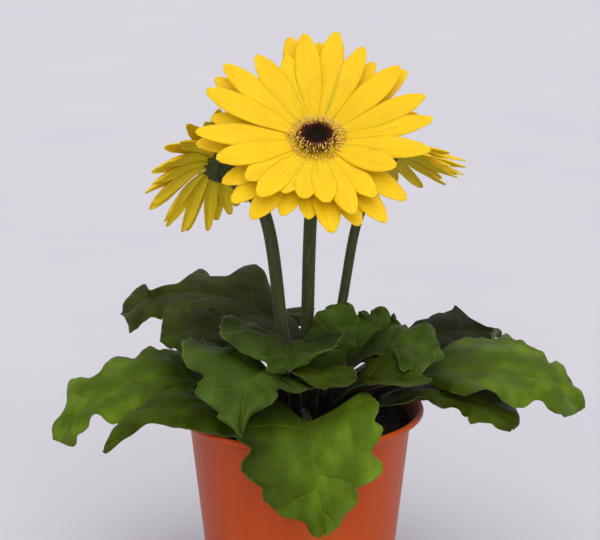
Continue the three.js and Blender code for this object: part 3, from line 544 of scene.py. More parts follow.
def margin_share(leaf, t, side):
    """Share of the half width at t along the blade, with round lobes and narrow notches."""
    if "edges" in leaf:
        toothed = math.sqrt(math.cos(16 * math.pi * t + side) ** 2 + 0.02)
        return max(edge_share(leaf["edges"][side > 0], t), 0) * (1 - 0.03 * (1 - toothed))
    body = lerp(0.14, 1, smoothstep(t, 0, 0.36))
    rest = max(t - 0.6, 0) / 0.4
    tip = lerp(math.sqrt(max(1 - rest ** 2, 0)), max(1 - rest ** 1.3, 0), leaf.get("point", 0))
    phase = LOBES_ALONG * t + leaf["phase"] + VEIN_OFFSET * side
    odd = noise.noise(Vector((phase * 0.8, 9 * leaf["phase"], 3 * side)))
    lobe = math.sqrt(math.cos(math.pi * (phase + 0.12 * odd)) ** 2 + 0.01)
    crenate = math.sqrt(math.cos(2.5 * math.pi * phase + odd) ** 2 + 0.02)
    return body * tip * (1 - leaf["lobes"] * (1 + 0.7 * odd) * (1 - lobe) - 0.035 * (1 - crenate))


def leaf_blade(bm, leaf, points, across, along, flat, blade, painted_light):
    """The blade as a sheet laid over the midrib. flat and blade keep its own coordinates, and the last
    layer
    holds painted light and shade: dark at the heart, paler to the tip, and paler or darker per half."""
    grid = bmesh.ops.create_grid(bm, x_segments=across, y_segments=along, size=1.0)["verts"]
    length = (points[3] - points[0]).length * (1 - leaf["start"])
    grown = min(leaf["half"] / 30, 1)
    for vert in grid:
        v, t = vert.co.x, 1 - (0.5 - vert.co.y / 2) ** 1.5
        side = -1 if v < 0 else 1
        point, way = midrib_at(points, lerp(leaf["start"], 1, t))
        sideways, up = leaf_axes(leaf, way, lerp(0.5, 1, smoothstep(t, 0, 0.4)))
        width = max(leaf["half"] * margin_share(leaf, t, side), 1.4 * math.sqrt(max(1 - t * t, 0.0004)))
        turn = 2 * math.pi * (RUFFLES_ALONG * t + leaf["phase"] + 0.31 * side)
        ruffle = leaf["wave"] * (math.sin(turn) * v * v + 0.45 * math.sin(2.9 * turn + side) * v ** 4)
        vein = LOBES_ALONG * t + leaf["phase"] + VEIN_OFFSET * side + VEIN_SWEEP * (1 - abs(v))
        pillow = math.sin(math.pi * (vein % 1)) ** 0.7 * math.sin(math.pi * min(abs(v) * 1.05, 1)) ** 0.6
        spot = Vector((width * v, length * t, 40 * leaf["phase"]))
        crumple = leaf["crumple"] * (2.4 * noise.noise(spot / 15) + noise.noise(spot / 6.5))
        puff = BELLY * math.sin(math.pi * abs(v)) + PILLOW * pillow + crumple * smoothstep(abs(v), 0, 0.2)
        lift = smoothstep(t, 0, 0.3) * (leaf["cup"] * width * abs(v) + ruffle + grown * puff)
        heart = leaf.get("heart", 0) * abs(v) ** 1.2 * (1 - smoothstep(t, 0, 0.5))
        vert.co = point + sideways * width * v + up * lift - way * heart
        vert[flat] = (width * v, length * t, 0)
        vert[blade] = (v, t, LOBES_ALONG * t + leaf["phase"])
        vert[painted_light] = t + lerp(*leaf.get("painted_light", (0, 0)), (v + 1) / 2)


def thicken(bm, thickness, index):
    """Gives the sheets their thickness, downwards, with material index on the new faces."""
    upper_side = set(bm.faces)
    copied = bmesh.ops.extrude_face_region(bm, geom=list(bm.faces), use_keep_orig=True)["geom"]
    bm.normal_update()
    for vert in verts_of(copied):
        vert.co -= vert.normal * thickness
    for face in bm.faces:
        face.material_index = 0 if face in upper_side else index
    bmesh.ops.recalc_face_normals(bm, faces=bm.faces)


def welded(bm, grid, distance):
    """Joins the grid's coinciding vertices and returns those that are left."""
    bmesh.ops.remove_doubles(bm, verts=grid, dist=distance)
    return [vert for vert in grid if vert.is_valid]


def round_rod(bm, rings, sides, along):
    """A rod through rings of (centre, sideways, up, half width, half height), closed at both ends. The
    layer along keeps how far each point lies from the foot, from 0 to 1."""
    grid = bmesh.ops.create_grid(bm, x_segments=sides, y_segments=len(rings) - 1, size=0.5)["verts"]
    for vert in grid:
        angle = 2 * math.pi * (vert.co.x + 0.5)
        vert[along] = vert.co.y + 0.5
        centre, sideways, up, wide, high = rings[round((vert.co.y + 0.5) * (len(rings) - 1))]
        vert.co = centre + sideways * wide * math.cos(angle) + up * high * math.sin(angle)
    kept = welded(bm, grid, 0.0005)
    ends = list({edge for vert in kept for edge in vert.link_edges if edge.is_boundary})
    bmesh.ops.holes_fill(bm, edges=ends, sides=0)
    faces = faces_at(kept)
    bmesh.ops.recalc_face_normals(bm, faces=faces)
    return faces


BLADE_FLESH = {
    "Subsurface Weight": 0.3, "Subsurface Radius": (0.5, 1.0, 0.12), "Subsurface Scale": 0.0012}


def leaf_material(name, heart, dark, mid, light, vein, gloss):
    """Upper side of a living leaf: waxy green, paler along its sunken veins. Its thin pale margin is a
    painted highlight, its base darkens to the heart colour as painted shade, and each half is paler as
    painted light or darker as painted shade. The net of small veins has cells of 3 mm, the blotches are
    14 mm wide and the pores 0.4 mm, coarser than real so that they show."""
    green, add = new_material(name)
    place = add("Attribute", {}, attribute_name="flat").outputs["Vector"]
    own = add("SeparateXYZ", {0: add("Attribute", {}, attribute_name="blade").outputs["Vector"]})
    out = add("Math", {0: own.outputs["X"]}, operation="ABSOLUTE")
    side = add("Math", {0: own.outputs["X"]}, operation="SIGN")
    lobe = add("Math", {0: side, 1: VEIN_OFFSET, 2: own.outputs["Z"]}, operation="MULTIPLY_ADD")
    sweep = add("Math", {0: out, 1: -VEIN_SWEEP, 2: lobe}, operation="MULTIPLY_ADD")
    bent = add("TexNoise", {"Vector": place, "Scale": 0.09, "Detail": 1.0})
    wander = add("Math", {0: bent, 1: 0.16, 2: sweep}, operation="MULTIPLY_ADD")
    course = add("Math", {0: wander, 1: VEIN_SWEEP - 0.08})
    far = add("Math", {0: course, 1: 0.5}, operation="PINGPONG")
    main = add("MapRange", {
        "Value": far, "From Min": 0.045, "From Max": 0.008}, interpolation_type="SMOOTHSTEP")
    twice = add("Math", {0: course, 1: 0.25}, operation="PINGPONG")
    minor = add("MapRange", {
        "Value": twice, "From Min": 0.02, "From Max": 0.003, "To Max": 0.4},
        interpolation_type="SMOOTHSTEP")
    both = add("Math", {0: main, 1: minor}, operation="MAXIMUM")
    fade = add("MapRange", {
        "Value": out, "From Min": 1.0, "From Max": 0.3, "To Min": 0.25, "To Max": 1.0})
    sides = add("Math", {0: both, 1: fade}, operation="MULTIPLY")
    across = add("SeparateXYZ", {0: place})
    wide = add("Math", {0: across.outputs["X"]}, operation="ABSOLUTE")
    ribbed = add("MapRange", {
        "Value": wide, "From Min": 0.9, "From Max": 0.25, "To Max": 0.6}, interpolation_type="SMOOTHSTEP")
    veins = add("Math", {0: sides, 1: ribbed}, operation="MAXIMUM")
    net = add("TexVoronoi", {"Vector": place, "Scale": 0.3}, feature="DISTANCE_TO_EDGE")
    netted = add("MapRange", {"Value": net, "From Min": 0.09, "From Max": 0.0, "To Max": 0.16})
    drawn = add("Math", {0: veins, 1: netted}, operation="MAXIMUM")
    patch = add("TexNoise", {"Vector": place, "Scale": 0.07, "Detail": 5.0})
    # Painted light and shade from the blade's last layer: low where the leaf is shaded, high where lit
    painted_light = add("Attribute", {}, attribute_name="painted_light").outputs["Fac"]
    toned = add("Math", {0: painted_light, 1: 0.16, 2: patch}, operation="MULTIPLY_ADD")
    body = add("ValToRGB", {"Fac": toned}, [(0.36, dark), (0.58, mid), (0.82, light)])
    # Painted shade: the blade darkens towards the heart colour at its base
    painted_base_shade = add("MapRange", {
        "Value": painted_light, "From Min": 0.55, "From Max": 0.0, "To Max": 0.78},
        interpolation_type="SMOOTHSTEP")
    base_shaded = add("Mix", {0: painted_base_shade, 6: body, 7: linear(heart)}, data_type="RGBA")
    lined = add("Math", {0: drawn, 1: 0.16}, operation="MULTIPLY")
    veined = add("Mix", {0: lined, 6: base_shaded, 7: linear(vein)}, data_type="RGBA")
    # Painted highlight: a thin pale line along the margin, where the edge catches the light
    rim = add("MapRange", {"Value": out, "From Min": 0.965, "From Max": 0.998, "To Max": 0.28})
    margin_highlighted = add("Mix", {0: rim, 6: veined, 7: linear("#7c8a34")}, data_type="RGBA")
    pores = add("TexNoise", {"Vector": place, "Scale": 2.6, "Detail": 3.0})
    sunk = add("Math", {0: drawn, 1: -1.0, 2: pores}, operation="MULTIPLY_ADD")
    bump = add("Bump", {"Strength": 0.6, "Distance": 0.0007, "Height": sunk})
    sheen = add("MapRange", {
        "Value": patch, "From Min": 0.3, "From Max": 0.7, "To Min": gloss, "To Max": gloss + 0.14})
    add("OutputMaterial", {"Surface": add("BsdfPrincipled", {
        "Base Color": margin_highlighted, "Roughness": sheen, "IOR": 1.42, "Normal": bump, "Specular IOR Level": 0.09,
        **BLADE_FLESH})})
    return green


# The cuticle's greens: mature and bluish young, and as painted light a paler copy for leaves in full
# light and a darker copy for leaves in shade. The first green of each is the painted shade at the heart.
LEAF_TOPS = {
    "sunlit": ("#1c2703", "#35440b", "#485d0d", "#65801a", "#707f28", 0.42),
    "mature": ("#161c02", "#252f04", "#323f04", "#435307", "#5c6811", 0.45),
    "young": ("#171e06", "#28370b", "#3a4d13", "#4e6523", "#6f7c38", 0.4),
    "shaded": ("#111503", "#242b08", "#2f350c", "#3f4613", "#555d22", 0.5),
}
LEAF_SLOTS = {
    "sunlit": "leaf_green", "mature": "leaf_green", "young": "leaf_young", "shaded": "leaf_dark"}
tops = {name: leaf_material(name + "_leaf_cuticle", *looks) for name, looks in LEAF_TOPS.items()}

# Leaf underside: matt, with a felt of fine hairs, drawn as a nap 2 mm wide so that it shows. Its green,
# paler on a living leaf, is darkened here as painted shade.
felt, add = new_material("leaf_underside_felt")
place = add("Attribute", {}, attribute_name="flat").outputs["Vector"]
nap, dull = mottled(add, place, 0.5, 5.0, [(0.3, "#293507"), (0.55, "#34410a"), (0.8, "#424f14")])
fuzz = add("Bump", {"Strength": 0.3, "Distance": 0.0003, "Height": nap})
add("OutputMaterial", {"Surface": add("BsdfPrincipled", {
    "Base Color": dull, "Roughness": 0.75, "Normal": fuzz,
    "Sheen Weight": 0.15, "Specular IOR Level": 0.25, **BLADE_FLESH})})


def stalk_skin(name, stretch, stops, relief, darkens, foot, looks):
    """Skin of a petiole or stem: streaked lengthwise, and darkening to its foot between two heights,
    partly its own brown and partly painted shade in the crown.
    """
    stalk, add = new_material(name)
    spot = add("TexCoord", {}).outputs["Object"]
    streak, shade = mottled(add, add("Mapping", {"Vector": spot, "Scale": stretch}), 1.0, 3.0, stops)
    ribs = add("Bump", {"Strength": relief, "Distance": 0.0003, "Height": streak})
    along = add("Attribute", {}, attribute_name="along").outputs["Fac"]
    footed = add("MapRange", {"Value": along, "From Min": darkens[0], "From Max": darkens[1]})
    foot_browned_and_shaded = add("Mix", {0: footed, 6: shade, 7: linear(foot)}, data_type="RGBA")
    add("OutputMaterial", {"Surface": add("BsdfPrincipled", {
        "Base Color": foot_browned_and_shaded, "Normal": ribs, **looks})})
    return stalk


# Petiole: juicy and pale green, with streaks 1 mm wide lengthwise, browner and darker to its foot:
# partly its own brown base, partly painted shade in the crown
juicy = stalk_skin(
    "petiole_skin", (900, 900, 70), [(0.3, "#2a340a"), (0.6, "#38440f"), (0.85, "#4a561a")],
    0.3, (0.6, 0.3), "#150f08", {
        "Roughness": 0.5, "Specular IOR Level": 0.25, "Subsurface Weight": 0.2,
        "Subsurface Radius": (0.6, 1.0, 0.2), "Subsurface Scale": 0.0015})

for name, leaf in LEAVES.items():
    points = midrib_points(leaf)
    top = leaf.get("top", "mature")
    slot = leaf.get("slot", LEAF_SLOTS[top])
    leaf["crumple"] = YOUNG_CRUMPLE if slot == "leaf_young" else CRUMPLE
    if "edges" in leaf:
        leaf["edges"] = [edge_curve(text) for text in leaf["edges"]]
    slim = SLIM_PETIOLE_RADIUS if leaf["half"] < SLIM_BELOW else PETIOLE_RADIUS
    squares = SMALL_BLADE_SQUARES if leaf["half"] < SMALL_BELOW else BLADE_SQUARES
    bm = bmesh.new()
    flat = bm.verts.layers.float_vector.new("flat")
    blade = bm.verts.layers.float_vector.new("blade")
    painted_light = bm.verts.layers.float.new("painted_light")
    along = bm.verts.layers.float.new("along")
    leaf_blade(bm, leaf, points, *squares, flat, blade, painted_light)
    bmesh.ops.reverse_faces(bm, faces=bm.faces)
    thicken(bm, BLADE_THICKNESS, 1)
    foot = points[0] - UP * PETIOLE_DEPTH
    rings = [(foot, *leaf_axes(leaf, UP, 0), slim * 0.9, slim * 0.9)]
    for i in range(PETIOLE_RINGS):
        s = i / (PETIOLE_RINGS - 1) * lerp(leaf["start"], 1, 0.94)
        t = max((s - leaf["start"]) / (1 - leaf["start"]), 0)
        point, way = midrib_at(points, s)
        roll_share = min(s / leaf["start"], 1) * 0.5 + 0.5 * smoothstep(t, 0, 0.4)
        sideways, up = leaf_axes(leaf, way, roll_share)
        root = lerp(slim, 0.5, math.sqrt(t)) if t > 0 else slim
        sunk = smoothstep(s / leaf["start"], 0.6, 1)
        half_high = root * lerp(0.85, 0.55, sunk)
        drop = (half_high + 0.2) * sunk
        half_wide = root * lerp(1.0, 0.72, smoothstep(t, 0, 0.3))
        rings.append((point - up * drop, sideways, up, half_wide, half_high))
    for face in round_rod(bm, rings, PETIOLE_SIDES, along):
        face.material_index = 2
    finish(bm, name.replace("leaf", "blade"), [tops[top], felt, juicy], name)


# Blooms. Three heads of one plant: the largest looks at the viewer, one looks away to the left and
# one lies open to the sky on the right. Centre is the middle of the disc, facing is the way that it
# looks. A layer's rays rise by rise[0] at the root and rise[1] at the tip, in degrees above the disc.
BLOOMS = {
    "front": dict(
        centre=(7.5, -20, 243), facing=(0, -0.743, 0.669), disc_lean=15, ray_curl=14, ray_sway=3,
        seed=11, stem_radius=3.1, ray_width=11.8,
        stem=[(2.5, 6, 106), (3.6, 4.5, 150), (5, -1, 200)],
        layers=[
            dict(rise=(27, 16), rays=[
                (1, 55.6), (15, 54.4), (37, 51.3), (62, 49.5), (79, 52.7), (97, 51), (111, 43), (127, 48.8),
                (145, 55.4), (163, 56.2), (186, 58), (204, 52.8), (221, 45), (235, 49), (247, 39.5),
                (261, 41), (276, 43.8), (289, 53), (305, 47.7), (327, 45), (343, 56.5)]),
            dict(rise=(17, 8), rays=[
                (9, 49), (37, 53.4), (54, 47), (88, 49), (104, 53.1), (150, 55.2), (172, 50), (187, 56.2),
                (213, 51.7), (224, 54.2), (237, 55.3), (250, 46.5), (265, 46.1), (277, 55.6), (291, 53.5),
                (303, 58), (318, 55.4)]),
        ]),
    "left": dict(
        centre=(-38.5, 28, 223), facing=(-0.43, 0.75, 0.5), disc_lean=0, ray_curl=80, ray_sway=16,
        seed=23, stem_radius=3.1, ray_width=9.6,
        stem=[(-2, -1.5, 106), (-7.8, 0, 139), (-18, 3.5, 204)],
        layers=[
            dict(rise=(34, -34), rays=[
                (5, 43), (26, 43), (47, 43), (70, 43), (92, 44), (113, 43), (135, 37), (156, 36), (179, 36),
                (200, 36), (222, 34), (243, 34), (263, 38), (285, 44), (306, 44), (328, 44), (346, 44)]),
            dict(rise=(28, -38), rays=[
                (16, 42), (37, 42), (58, 42), (81, 42), (104, 42), (124, 40), (146, 36), (168, 35),
                (189, 35), (210, 34), (233, 31), (253, 34), (274, 40), (296, 42), (317, 42), (338, 42),
                (356, 42)]),
        ]),
    "right": dict(
        centre=(38, 37, 227), facing=(0.12, 0.4, 0.91), disc_lean=0, ray_curl=45, ray_sway=12,
        seed=37, stem_radius=2.4, ray_width=9.4,
        stem=[(12, 21, 106), (20.4, 24, 150), (28, 28, 192)],
        layers=[
            dict(rise=(14, -17), even=(17, 0.25, 44.5, 37)),
            dict(rise=(8, -23), even=(17, 0.75, 43, 38)),
        ]),
}


def draws(seed):
    """Endless even draws from 0 to 1, the same ones each time for one seed."""
    while True:
        seed = (seed * 1664525 + 1013904223) % 4294967296
        yield seed / 4294967296


def bloom_matrix(bloom, lean=0):
    """Turns the disc's own axes, with +Z along facing and +X level, into the plant's axes."""
    facing = Vector(bloom["facing"]).normalized()
    level = UP.cross(facing).normalized()
    turned = Matrix((level, facing.cross(level), facing)).transposed().to_4x4()
    return Matrix.Translation(bloom["centre"]) @ turned @ Matrix.Rotation(math.radians(lean), 4, "X")


# Stems. Bare fleshy scapes with faint ribs and a fine down, that end in a green cup of pointed
# bracts which holds the bloom.
FOOT_DEPTH = 8
STEM_RINGS = 70
STEM_SIDES = 20
STEM_HAIRS = 700

# Each row of bracts: radius at root and tip, height at root and tip
BRACT_ROWS = ((8.2, 10.8, -7.4, -3.8), (7.4, 10.2, -8.8, -5.4), (6.0, 9.2, -10.0, -7.2))
BRACTS_IN_ROW = 14
CUP_STEPS = 40
BRACT_WIDTH = 1.7
BRACT_THICKNESS = 0.5
CUP_PROFILE = [
    (0, -10.9), (3.4, -10.9), (4.6, -10.2), (6.0, -8.8), (7.0, -7.4), (7.6, -6.1), (7.9, -4.8), (7.9, -3.5),
    (0, -3.4)]

# Stem skin: dull dark green, with ribs 0.9 mm wide lengthwise, hardly glossy under its down, browner and
# darker to its foot, partly its own colour and partly painted shade in the crown
scape = stalk_skin(
    "scape_skin", (1100, 1100, 45), [(0.3, "#2b3010"), (0.55, "#3a3f17"), (0.8, "#4b5222")],
    0.4, (0.34, 0.05), "#1e170c", {
        "Roughness": 0.62, "Specular IOR Level": 0.3, "Sheen Weight": 0.1, "Subsurface Weight": 0.1,
        "Subsurface Radius": (0.5, 0.8, 0.2), "Subsurface Scale": 0.001})

# Down: short pale hairs, almost clear
down, add = new_material("scape_down")
add("OutputMaterial", {"Surface": add("BsdfPrincipled", {
    "Base Color": linear("#8d9460"), "Roughness": 0.6, "Specular IOR Level": 0.3})})


def smooth_path(points, count):
    """A smooth centripetal curve through the points, as count points spread evenly along it."""
    points = [points[0] * 2 - points[1]] + points + [points[-1] * 2 - points[-2]]
    course = []
    for a, b, c, d in zip(points, points[1:], points[2:], points[3:]):
        first, gap, last = ((q - p).length ** 0.5 for p, q in ((a, b), (b, c), (c, d)))
        leave = ((b - a) / first - (c - a) / (first + gap) + (c - b) / gap) * gap
        arrive = ((c - b) / gap - (d - b) / (gap + last) + (d - c) / last) * gap
        course += [eased(b, c, leave, arrive, i / 40) for i in range(40)]
    course.append(points[-2])
    run = [0]
    for p, q in zip(course, course[1:]):
        run.append(run[-1] + (q - p).length)
    even = []
    for i in range(count):
        goal = run[-1] * i / (count - 1)
        k = next(j for j in range(1, len(run)) if run[j] >= goal - 1e-9)
        even.append(course[k - 1].lerp(course[k], (goal - run[k - 1]) / (run[k] - run[k - 1])))
    return even


def pointed_scale(bm, angle, root, tip, low, high):
    """A pointed scale that lies along a slanting line outwards, closed all round."""
    grid = bmesh.ops.create_grid(bm, x_segments=4, y_segments=6, size=1.0)["verts"]
    turned = Matrix.Rotation(angle, 4, "Z")
    for vert in grid:
        v, t = vert.co.x, (vert.co.y + 1) / 2
        half = BRACT_WIDTH * (1 - t ** 2.2) * (0.75 + 0.5 * t)
        bulge = 0.6 * math.sin(math.pi * t)
        out = lerp(root, tip, t) + bulge * (1 - v * v)
        vert.co = turned @ Vector((out, half * v, lerp(low, high, t)))
    faces = faces_at(welded(bm, grid, 0.001))
    inner = verts_of(bmesh.ops.extrude_face_region(bm, geom=faces, use_keep_orig=True)["geom"])
    for vert in inner:
        vert.co += turned @ Vector((-BRACT_THICKNESS, 0, BRACT_THICKNESS / 2))
    bmesh.ops.recalc_face_normals(bm, faces=list(set(faces + faces_at(inner))))


random.seed(9)
for name, bloom in BLOOMS.items():
    head = bloom_matrix(bloom)
    bm = bmesh.new()
    along = bm.verts.layers.float.new("along")
    ring = [bm.verts.new((0, radius, z)) for radius, z in CUP_PROFILE]
    spin_round(bm, ring, zip(ring, ring[1:]), CUP_STEPS)
    bmesh.ops.remove_doubles(bm, verts=bm.verts, dist=0.001)
    bmesh.ops.recalc_face_normals(bm, faces=bm.faces)
    for row, (root, tip, low, high) in enumerate(BRACT_ROWS):
        for i in range(BRACTS_IN_ROW):
            angle = 2 * math.pi * (i + 0.5 * row + random.uniform(-0.12, 0.12)) / BRACTS_IN_ROW
            length = random.uniform(0.85, 1.1)
            pointed_scale(bm, angle, root, lerp(root, tip, length), low, lerp(low, high, length))
    for vert in bm.verts:
        vert[along] = 1
    bmesh.ops.transform(bm, matrix=head, verts=bm.verts)
    x, y, _ = bloom["stem"][0]
    way = [Vector((x, y, soil_height(x, y) - FOOT_DEPTH))] + [Vector(point) for point in bloom["stem"]]
    way += [head @ (UP * -17), head @ (UP * -8)]
    course = smooth_path(way, STEM_RINGS)
    radius = bloom["stem_radius"]
    rings = []
    for i, point in enumerate(course):
        ahead = (course[min(i + 1, STEM_RINGS - 1)] - course[max(i - 1, 0)]).normalized()
        sideways = Vector((0, 1, 0)).cross(ahead).normalized()
        rings.append((point, sideways, ahead.cross(sideways), radius, radius))
    round_rod(bm, rings, STEM_SIDES, along)
    for i in range(STEM_HAIRS):
        where = random.uniform(0.08, 0.97) * (STEM_RINGS - 1)
        centre, sideways, up, _, _ = rings[int(where)]
        centre = centre.lerp(rings[int(where) + 1][0], where % 1)
        turn = random.uniform(0, 2 * math.pi)
        off, _ = rolled(sideways, up, turn)
        stand = off.to_track_quat("Z", "Y").to_matrix().to_4x4()
        hair = Matrix.Translation(centre + off * (radius + 0.25)) @ stand
        made = bmesh.ops.create_cone(bm, cap_ends=True, segments=3, radius1=0.05, radius2=0.01,
                                     depth=random.uniform(0.5, 0.9), matrix=hair)["verts"]
        for face in faces_at(made):
            face.material_index = 1
    finish(bm, "scape_" + name, [scape, down], "stem_" + name)


# Ray florets. Soft yellow straps about 11 mm wide in two layers, each with two folds lengthwise and
# a narrowed, faintly toothed tip, fixed by a narrow root around the disc.
RAY_ROOT_RADIUS = 6.4
RAY_STEPS = 40
RAY_ACROSS = 12
RAY_ALONG = 24
RAY_THICKNESS = 0.35
FOLD_DEPTH = 0.34
FOLD_AT = 0.36
FOLD_WIDTH = 0.13
LAYER_HEIGHT = -1.5
LAYER_GAP = 0.9
ANGLE_VARIATION = 2.2
REACH_VARIATION = 0.04
RISE_VARIATION = 4
TURN_VARIATION = 12
RAY_FLESH = {
    "Subsurface Weight": 0.4, "Subsurface Radius": (1.0, 0.85, 0.1), "Subsurface Scale": 0.001}


def ray_lines(add, place, fineness, stops):
    """Hair-fine lines lengthwise on a ray, as a pattern and as a colour between the stops."""
    lengthwise = add("Mapping", {"Vector": place, "Scale": (fineness, 0.06, 1)})
    return mottled(add, lengthwise, 1.0, 2.0, stops)


# Ray upper side: silky, warm yellow, deeper at its root, with lines 0.45 mm wide lengthwise
yellow, add = new_material("ray_upper_skin")
place = add("Attribute", {}, attribute_name="flat").outputs["Vector"]
line, hue = ray_lines(add, place, 2.2, [(0.25, "#dcb40a"), (0.5, "#e2ba0c"), (0.75, "#e8c111")])
own = add("SeparateXYZ", {0: place})
rooted = add("MapRange", {"Value": own.outputs["Y"], "From Min": 16.0, "From Max": 2.0, "To Max": 0.45})
shade = add("TexNoise", {"Vector": place, "Scale": 0.05, "Detail": 2.0})
shaded = add("MapRange", {"Value": shade, "From Min": 0.42, "From Max": 0.68, "To Max": 0.5})
deepest = add("Math", {0: rooted, 1: shaded}, operation="MAXIMUM")
warm = add("Mix", {0: deepest, 6: hue, 7: linear("#d9a405")}, data_type="RGBA")
grain = add("Bump", {"Strength": 0.3, "Distance": 0.0004, "Height": line})
add("OutputMaterial", {"Surface": add("BsdfPrincipled", {
    "Base Color": warm, "Roughness": 0.6, "Specular IOR Level": 0.2, "Normal": grain, **RAY_FLESH})})

# Ray underside: duller, ochre yellow, with lines 0.6 mm wide lengthwise
ochre, add = new_material("ray_lower_skin")
place = add("Attribute", {}, attribute_name="flat").outputs["Vector"]
_, hue = ray_lines(add, place, 1.6, [(0.3, "#d2b81c"), (0.55, "#dec420"), (0.8, "#ead22c")])
add("OutputMaterial", {"Surface": add("BsdfPrincipled", {
    "Base Color": hue, "Roughness": 0.65, "Specular IOR Level": 0.2, **RAY_FLESH})})


def layer_rays(layer):
    """Angle and reach of each ray in a layer: as seen, or spread evenly and then varied a little."""
    if "rays" in layer:
        return layer["rays"]
    count, first_share, reach, seed = layer["even"]
    draw = draws(seed)
    rays = []
    for i in range(count):
        angle = 360 / count * (i + first_share) + (next(draw) - 0.5) * 2 * ANGLE_VARIATION
        rays.append((angle, reach * (1 + (next(draw) - 0.5) * 2 * REACH_VARIATION)))
    return rays


def ray_floret(bm, angle, reach, width, height, rises, twist, curl, flat):
    """One ray as a curved sheet in the disc's own axes."""
    length = reach - RAY_ROOT_RADIUS
    path = []
    out = RAY_ROOT_RADIUS
    for step in range(RAY_STEPS + 1):
        rise = math.radians(lerp(rises[0], rises[1], (step / RAY_STEPS) ** 0.57))
        path.append((out, height, rise))
        out += length / RAY_STEPS * math.cos(rise)
        height += length / RAY_STEPS * math.sin(rise)
    radial, across = outward(angle), outward(angle + math.pi / 2)
    teeth, blunt = random.uniform(0.0, 0.02), random.uniform(2.2, 3.6)
    wide, lean, sway = random.uniform(0.94, 1.08), random.uniform(-0.02, 0.02), random.random()
    grid = bmesh.ops.create_grid(bm, x_segments=RAY_ACROSS, y_segments=RAY_ALONG, size=1.0)["verts"]
    for vert in grid:
        v = vert.co.x
        end = 1 - 0.13 * abs(v) ** blunt + lean * v - teeth * (0.5 - 0.5 * math.cos(3 * math.pi * v))
        t = (vert.co.y + 1) / 2 * end
        at = min(t * RAY_STEPS, RAY_STEPS - 0.001)
        (out, high, rise), (next_out, next_high, _) = path[int(at)], path[int(at) + 1]
        share = at % 1
        centre = radial * lerp(out, next_out, share) + UP * lerp(high, next_high, share)
        up = UP * math.cos(rise) - radial * math.sin(rise)
        side, over = rolled(across, up, twist * t)
        body = (0.2 + 0.8 * smoothstep(t, -0.08, 0.58)) * (1 - 0.45 * smoothstep(t, 0.65, 1.03))
        half = width / 2 * wide * body
        fold = FOLD_DEPTH * math.exp(-((abs(v) - FOLD_AT) / FOLD_WIDTH) ** 2) * smoothstep(t, 0.02, 0.2)
        wave = 0.5 * math.sin(2 * math.pi * (1.2 * t + sway)) * v * abs(v) * smoothstep(t, 0.3, 0.8)
        bend = curl * (0.4 + 0.8 * t)
        flank = half * math.sin(bend * v) / bend
        hang = half * (1 - math.cos(bend * v)) / bend
        vert.co = centre + side * flank + over * (0.55 - hang - fold + wave)
        vert[flat] = (half * v + 20 * sway, length * t, 0)


random.seed(17)
for name, bloom in BLOOMS.items():
    bm = bmesh.new()
    flat = bm.verts.layers.float_vector.new("flat")
    draw = draws(bloom["seed"])
    for row, layer in enumerate(bloom["layers"]):
        for angle, reach in layer_rays(layer):
            wag, turn = (next(draw) - 0.5) * RISE_VARIATION, (next(draw) - 0.5) * TURN_VARIATION
            rises = (layer["rise"][0] + wag, layer["rise"][1] + wag)
            turn += random.uniform(-1, 1) * bloom["ray_sway"]
            ray_floret(bm, math.radians(angle), reach, bloom["ray_width"], LAYER_HEIGHT - LAYER_GAP * row,
                       rises, math.radians(turn), math.radians(bloom["ray_curl"]), flat)
    bmesh.ops.reverse_faces(bm, faces=bm.faces)
    thicken(bm, RAY_THICKNESS, 1)
    bmesh.ops.transform(bm, matrix=bloom_matrix(bloom), verts=bm.verts)
    finish(bm, "rays_of_" + name, [yellow, ochre], "rays_" + name)


# Inner florets. A dense ring of tiny golden straps between the rays and the disc, brown at the root
# and cream at the curled tip, with a fringe of plain yellow ones outside.
CURLED_FLORETS = 460
FRINGE_FLORETS = 70
RING_INSIDE = 7.9
RING_OUTSIDE = 13.2
RING_BED_RADII = (7.0, 9.6)
FRINGE_RADIUS = 12
GOLDEN_ANGLE = 137.508
CURL_STEPS = 6
CURLS = (-80, 60, 95, 120)
CURLED_WIDTHS = (0.9, 0.8, 0.85, 1.0, 1.05, 0.95, 0.5)
CURLED_TINTS = (0.05, 0.2, 0.42, 0.56, 0.68, 0.8, 0.84)
FRINGE_STEPS = 5
FRINGE_DROOP = 0.25
FRINGE_THICKNESS = 0.34
FRINGE_WIDTHS = (0.8, 1.0, 1.0, 0.85, 0.6, 0.2)
FRINGE_TINTS = (0.3, 0.42, 0.5, 0.58, 0.62, 0.66)

# Floret skin: waxy, brown in the depth of the ring, golden on its flank and cream at its tip
gold, add = new_material("inner_floret_skin")
tint = add("Attribute", {}, attribute_name="tint")
hue = add("ValToRGB", {"Fac": tint.outputs["Fac"]},
          [(0.05, "#5a3010"), (0.35, "#bc8a18"), (0.6, "#e8b828"), (0.85, "#f6de76")])
add("OutputMaterial", {"Surface": add("BsdfPrincipled", {
    "Base Color": hue, "Roughness": 0.5, "Specular IOR Level": 0.3,
    "Subsurface Weight": 0.15, "Subsurface Radius": (0.6, 0.4, 0.1), "Subsurface Scale": 0.0006})})


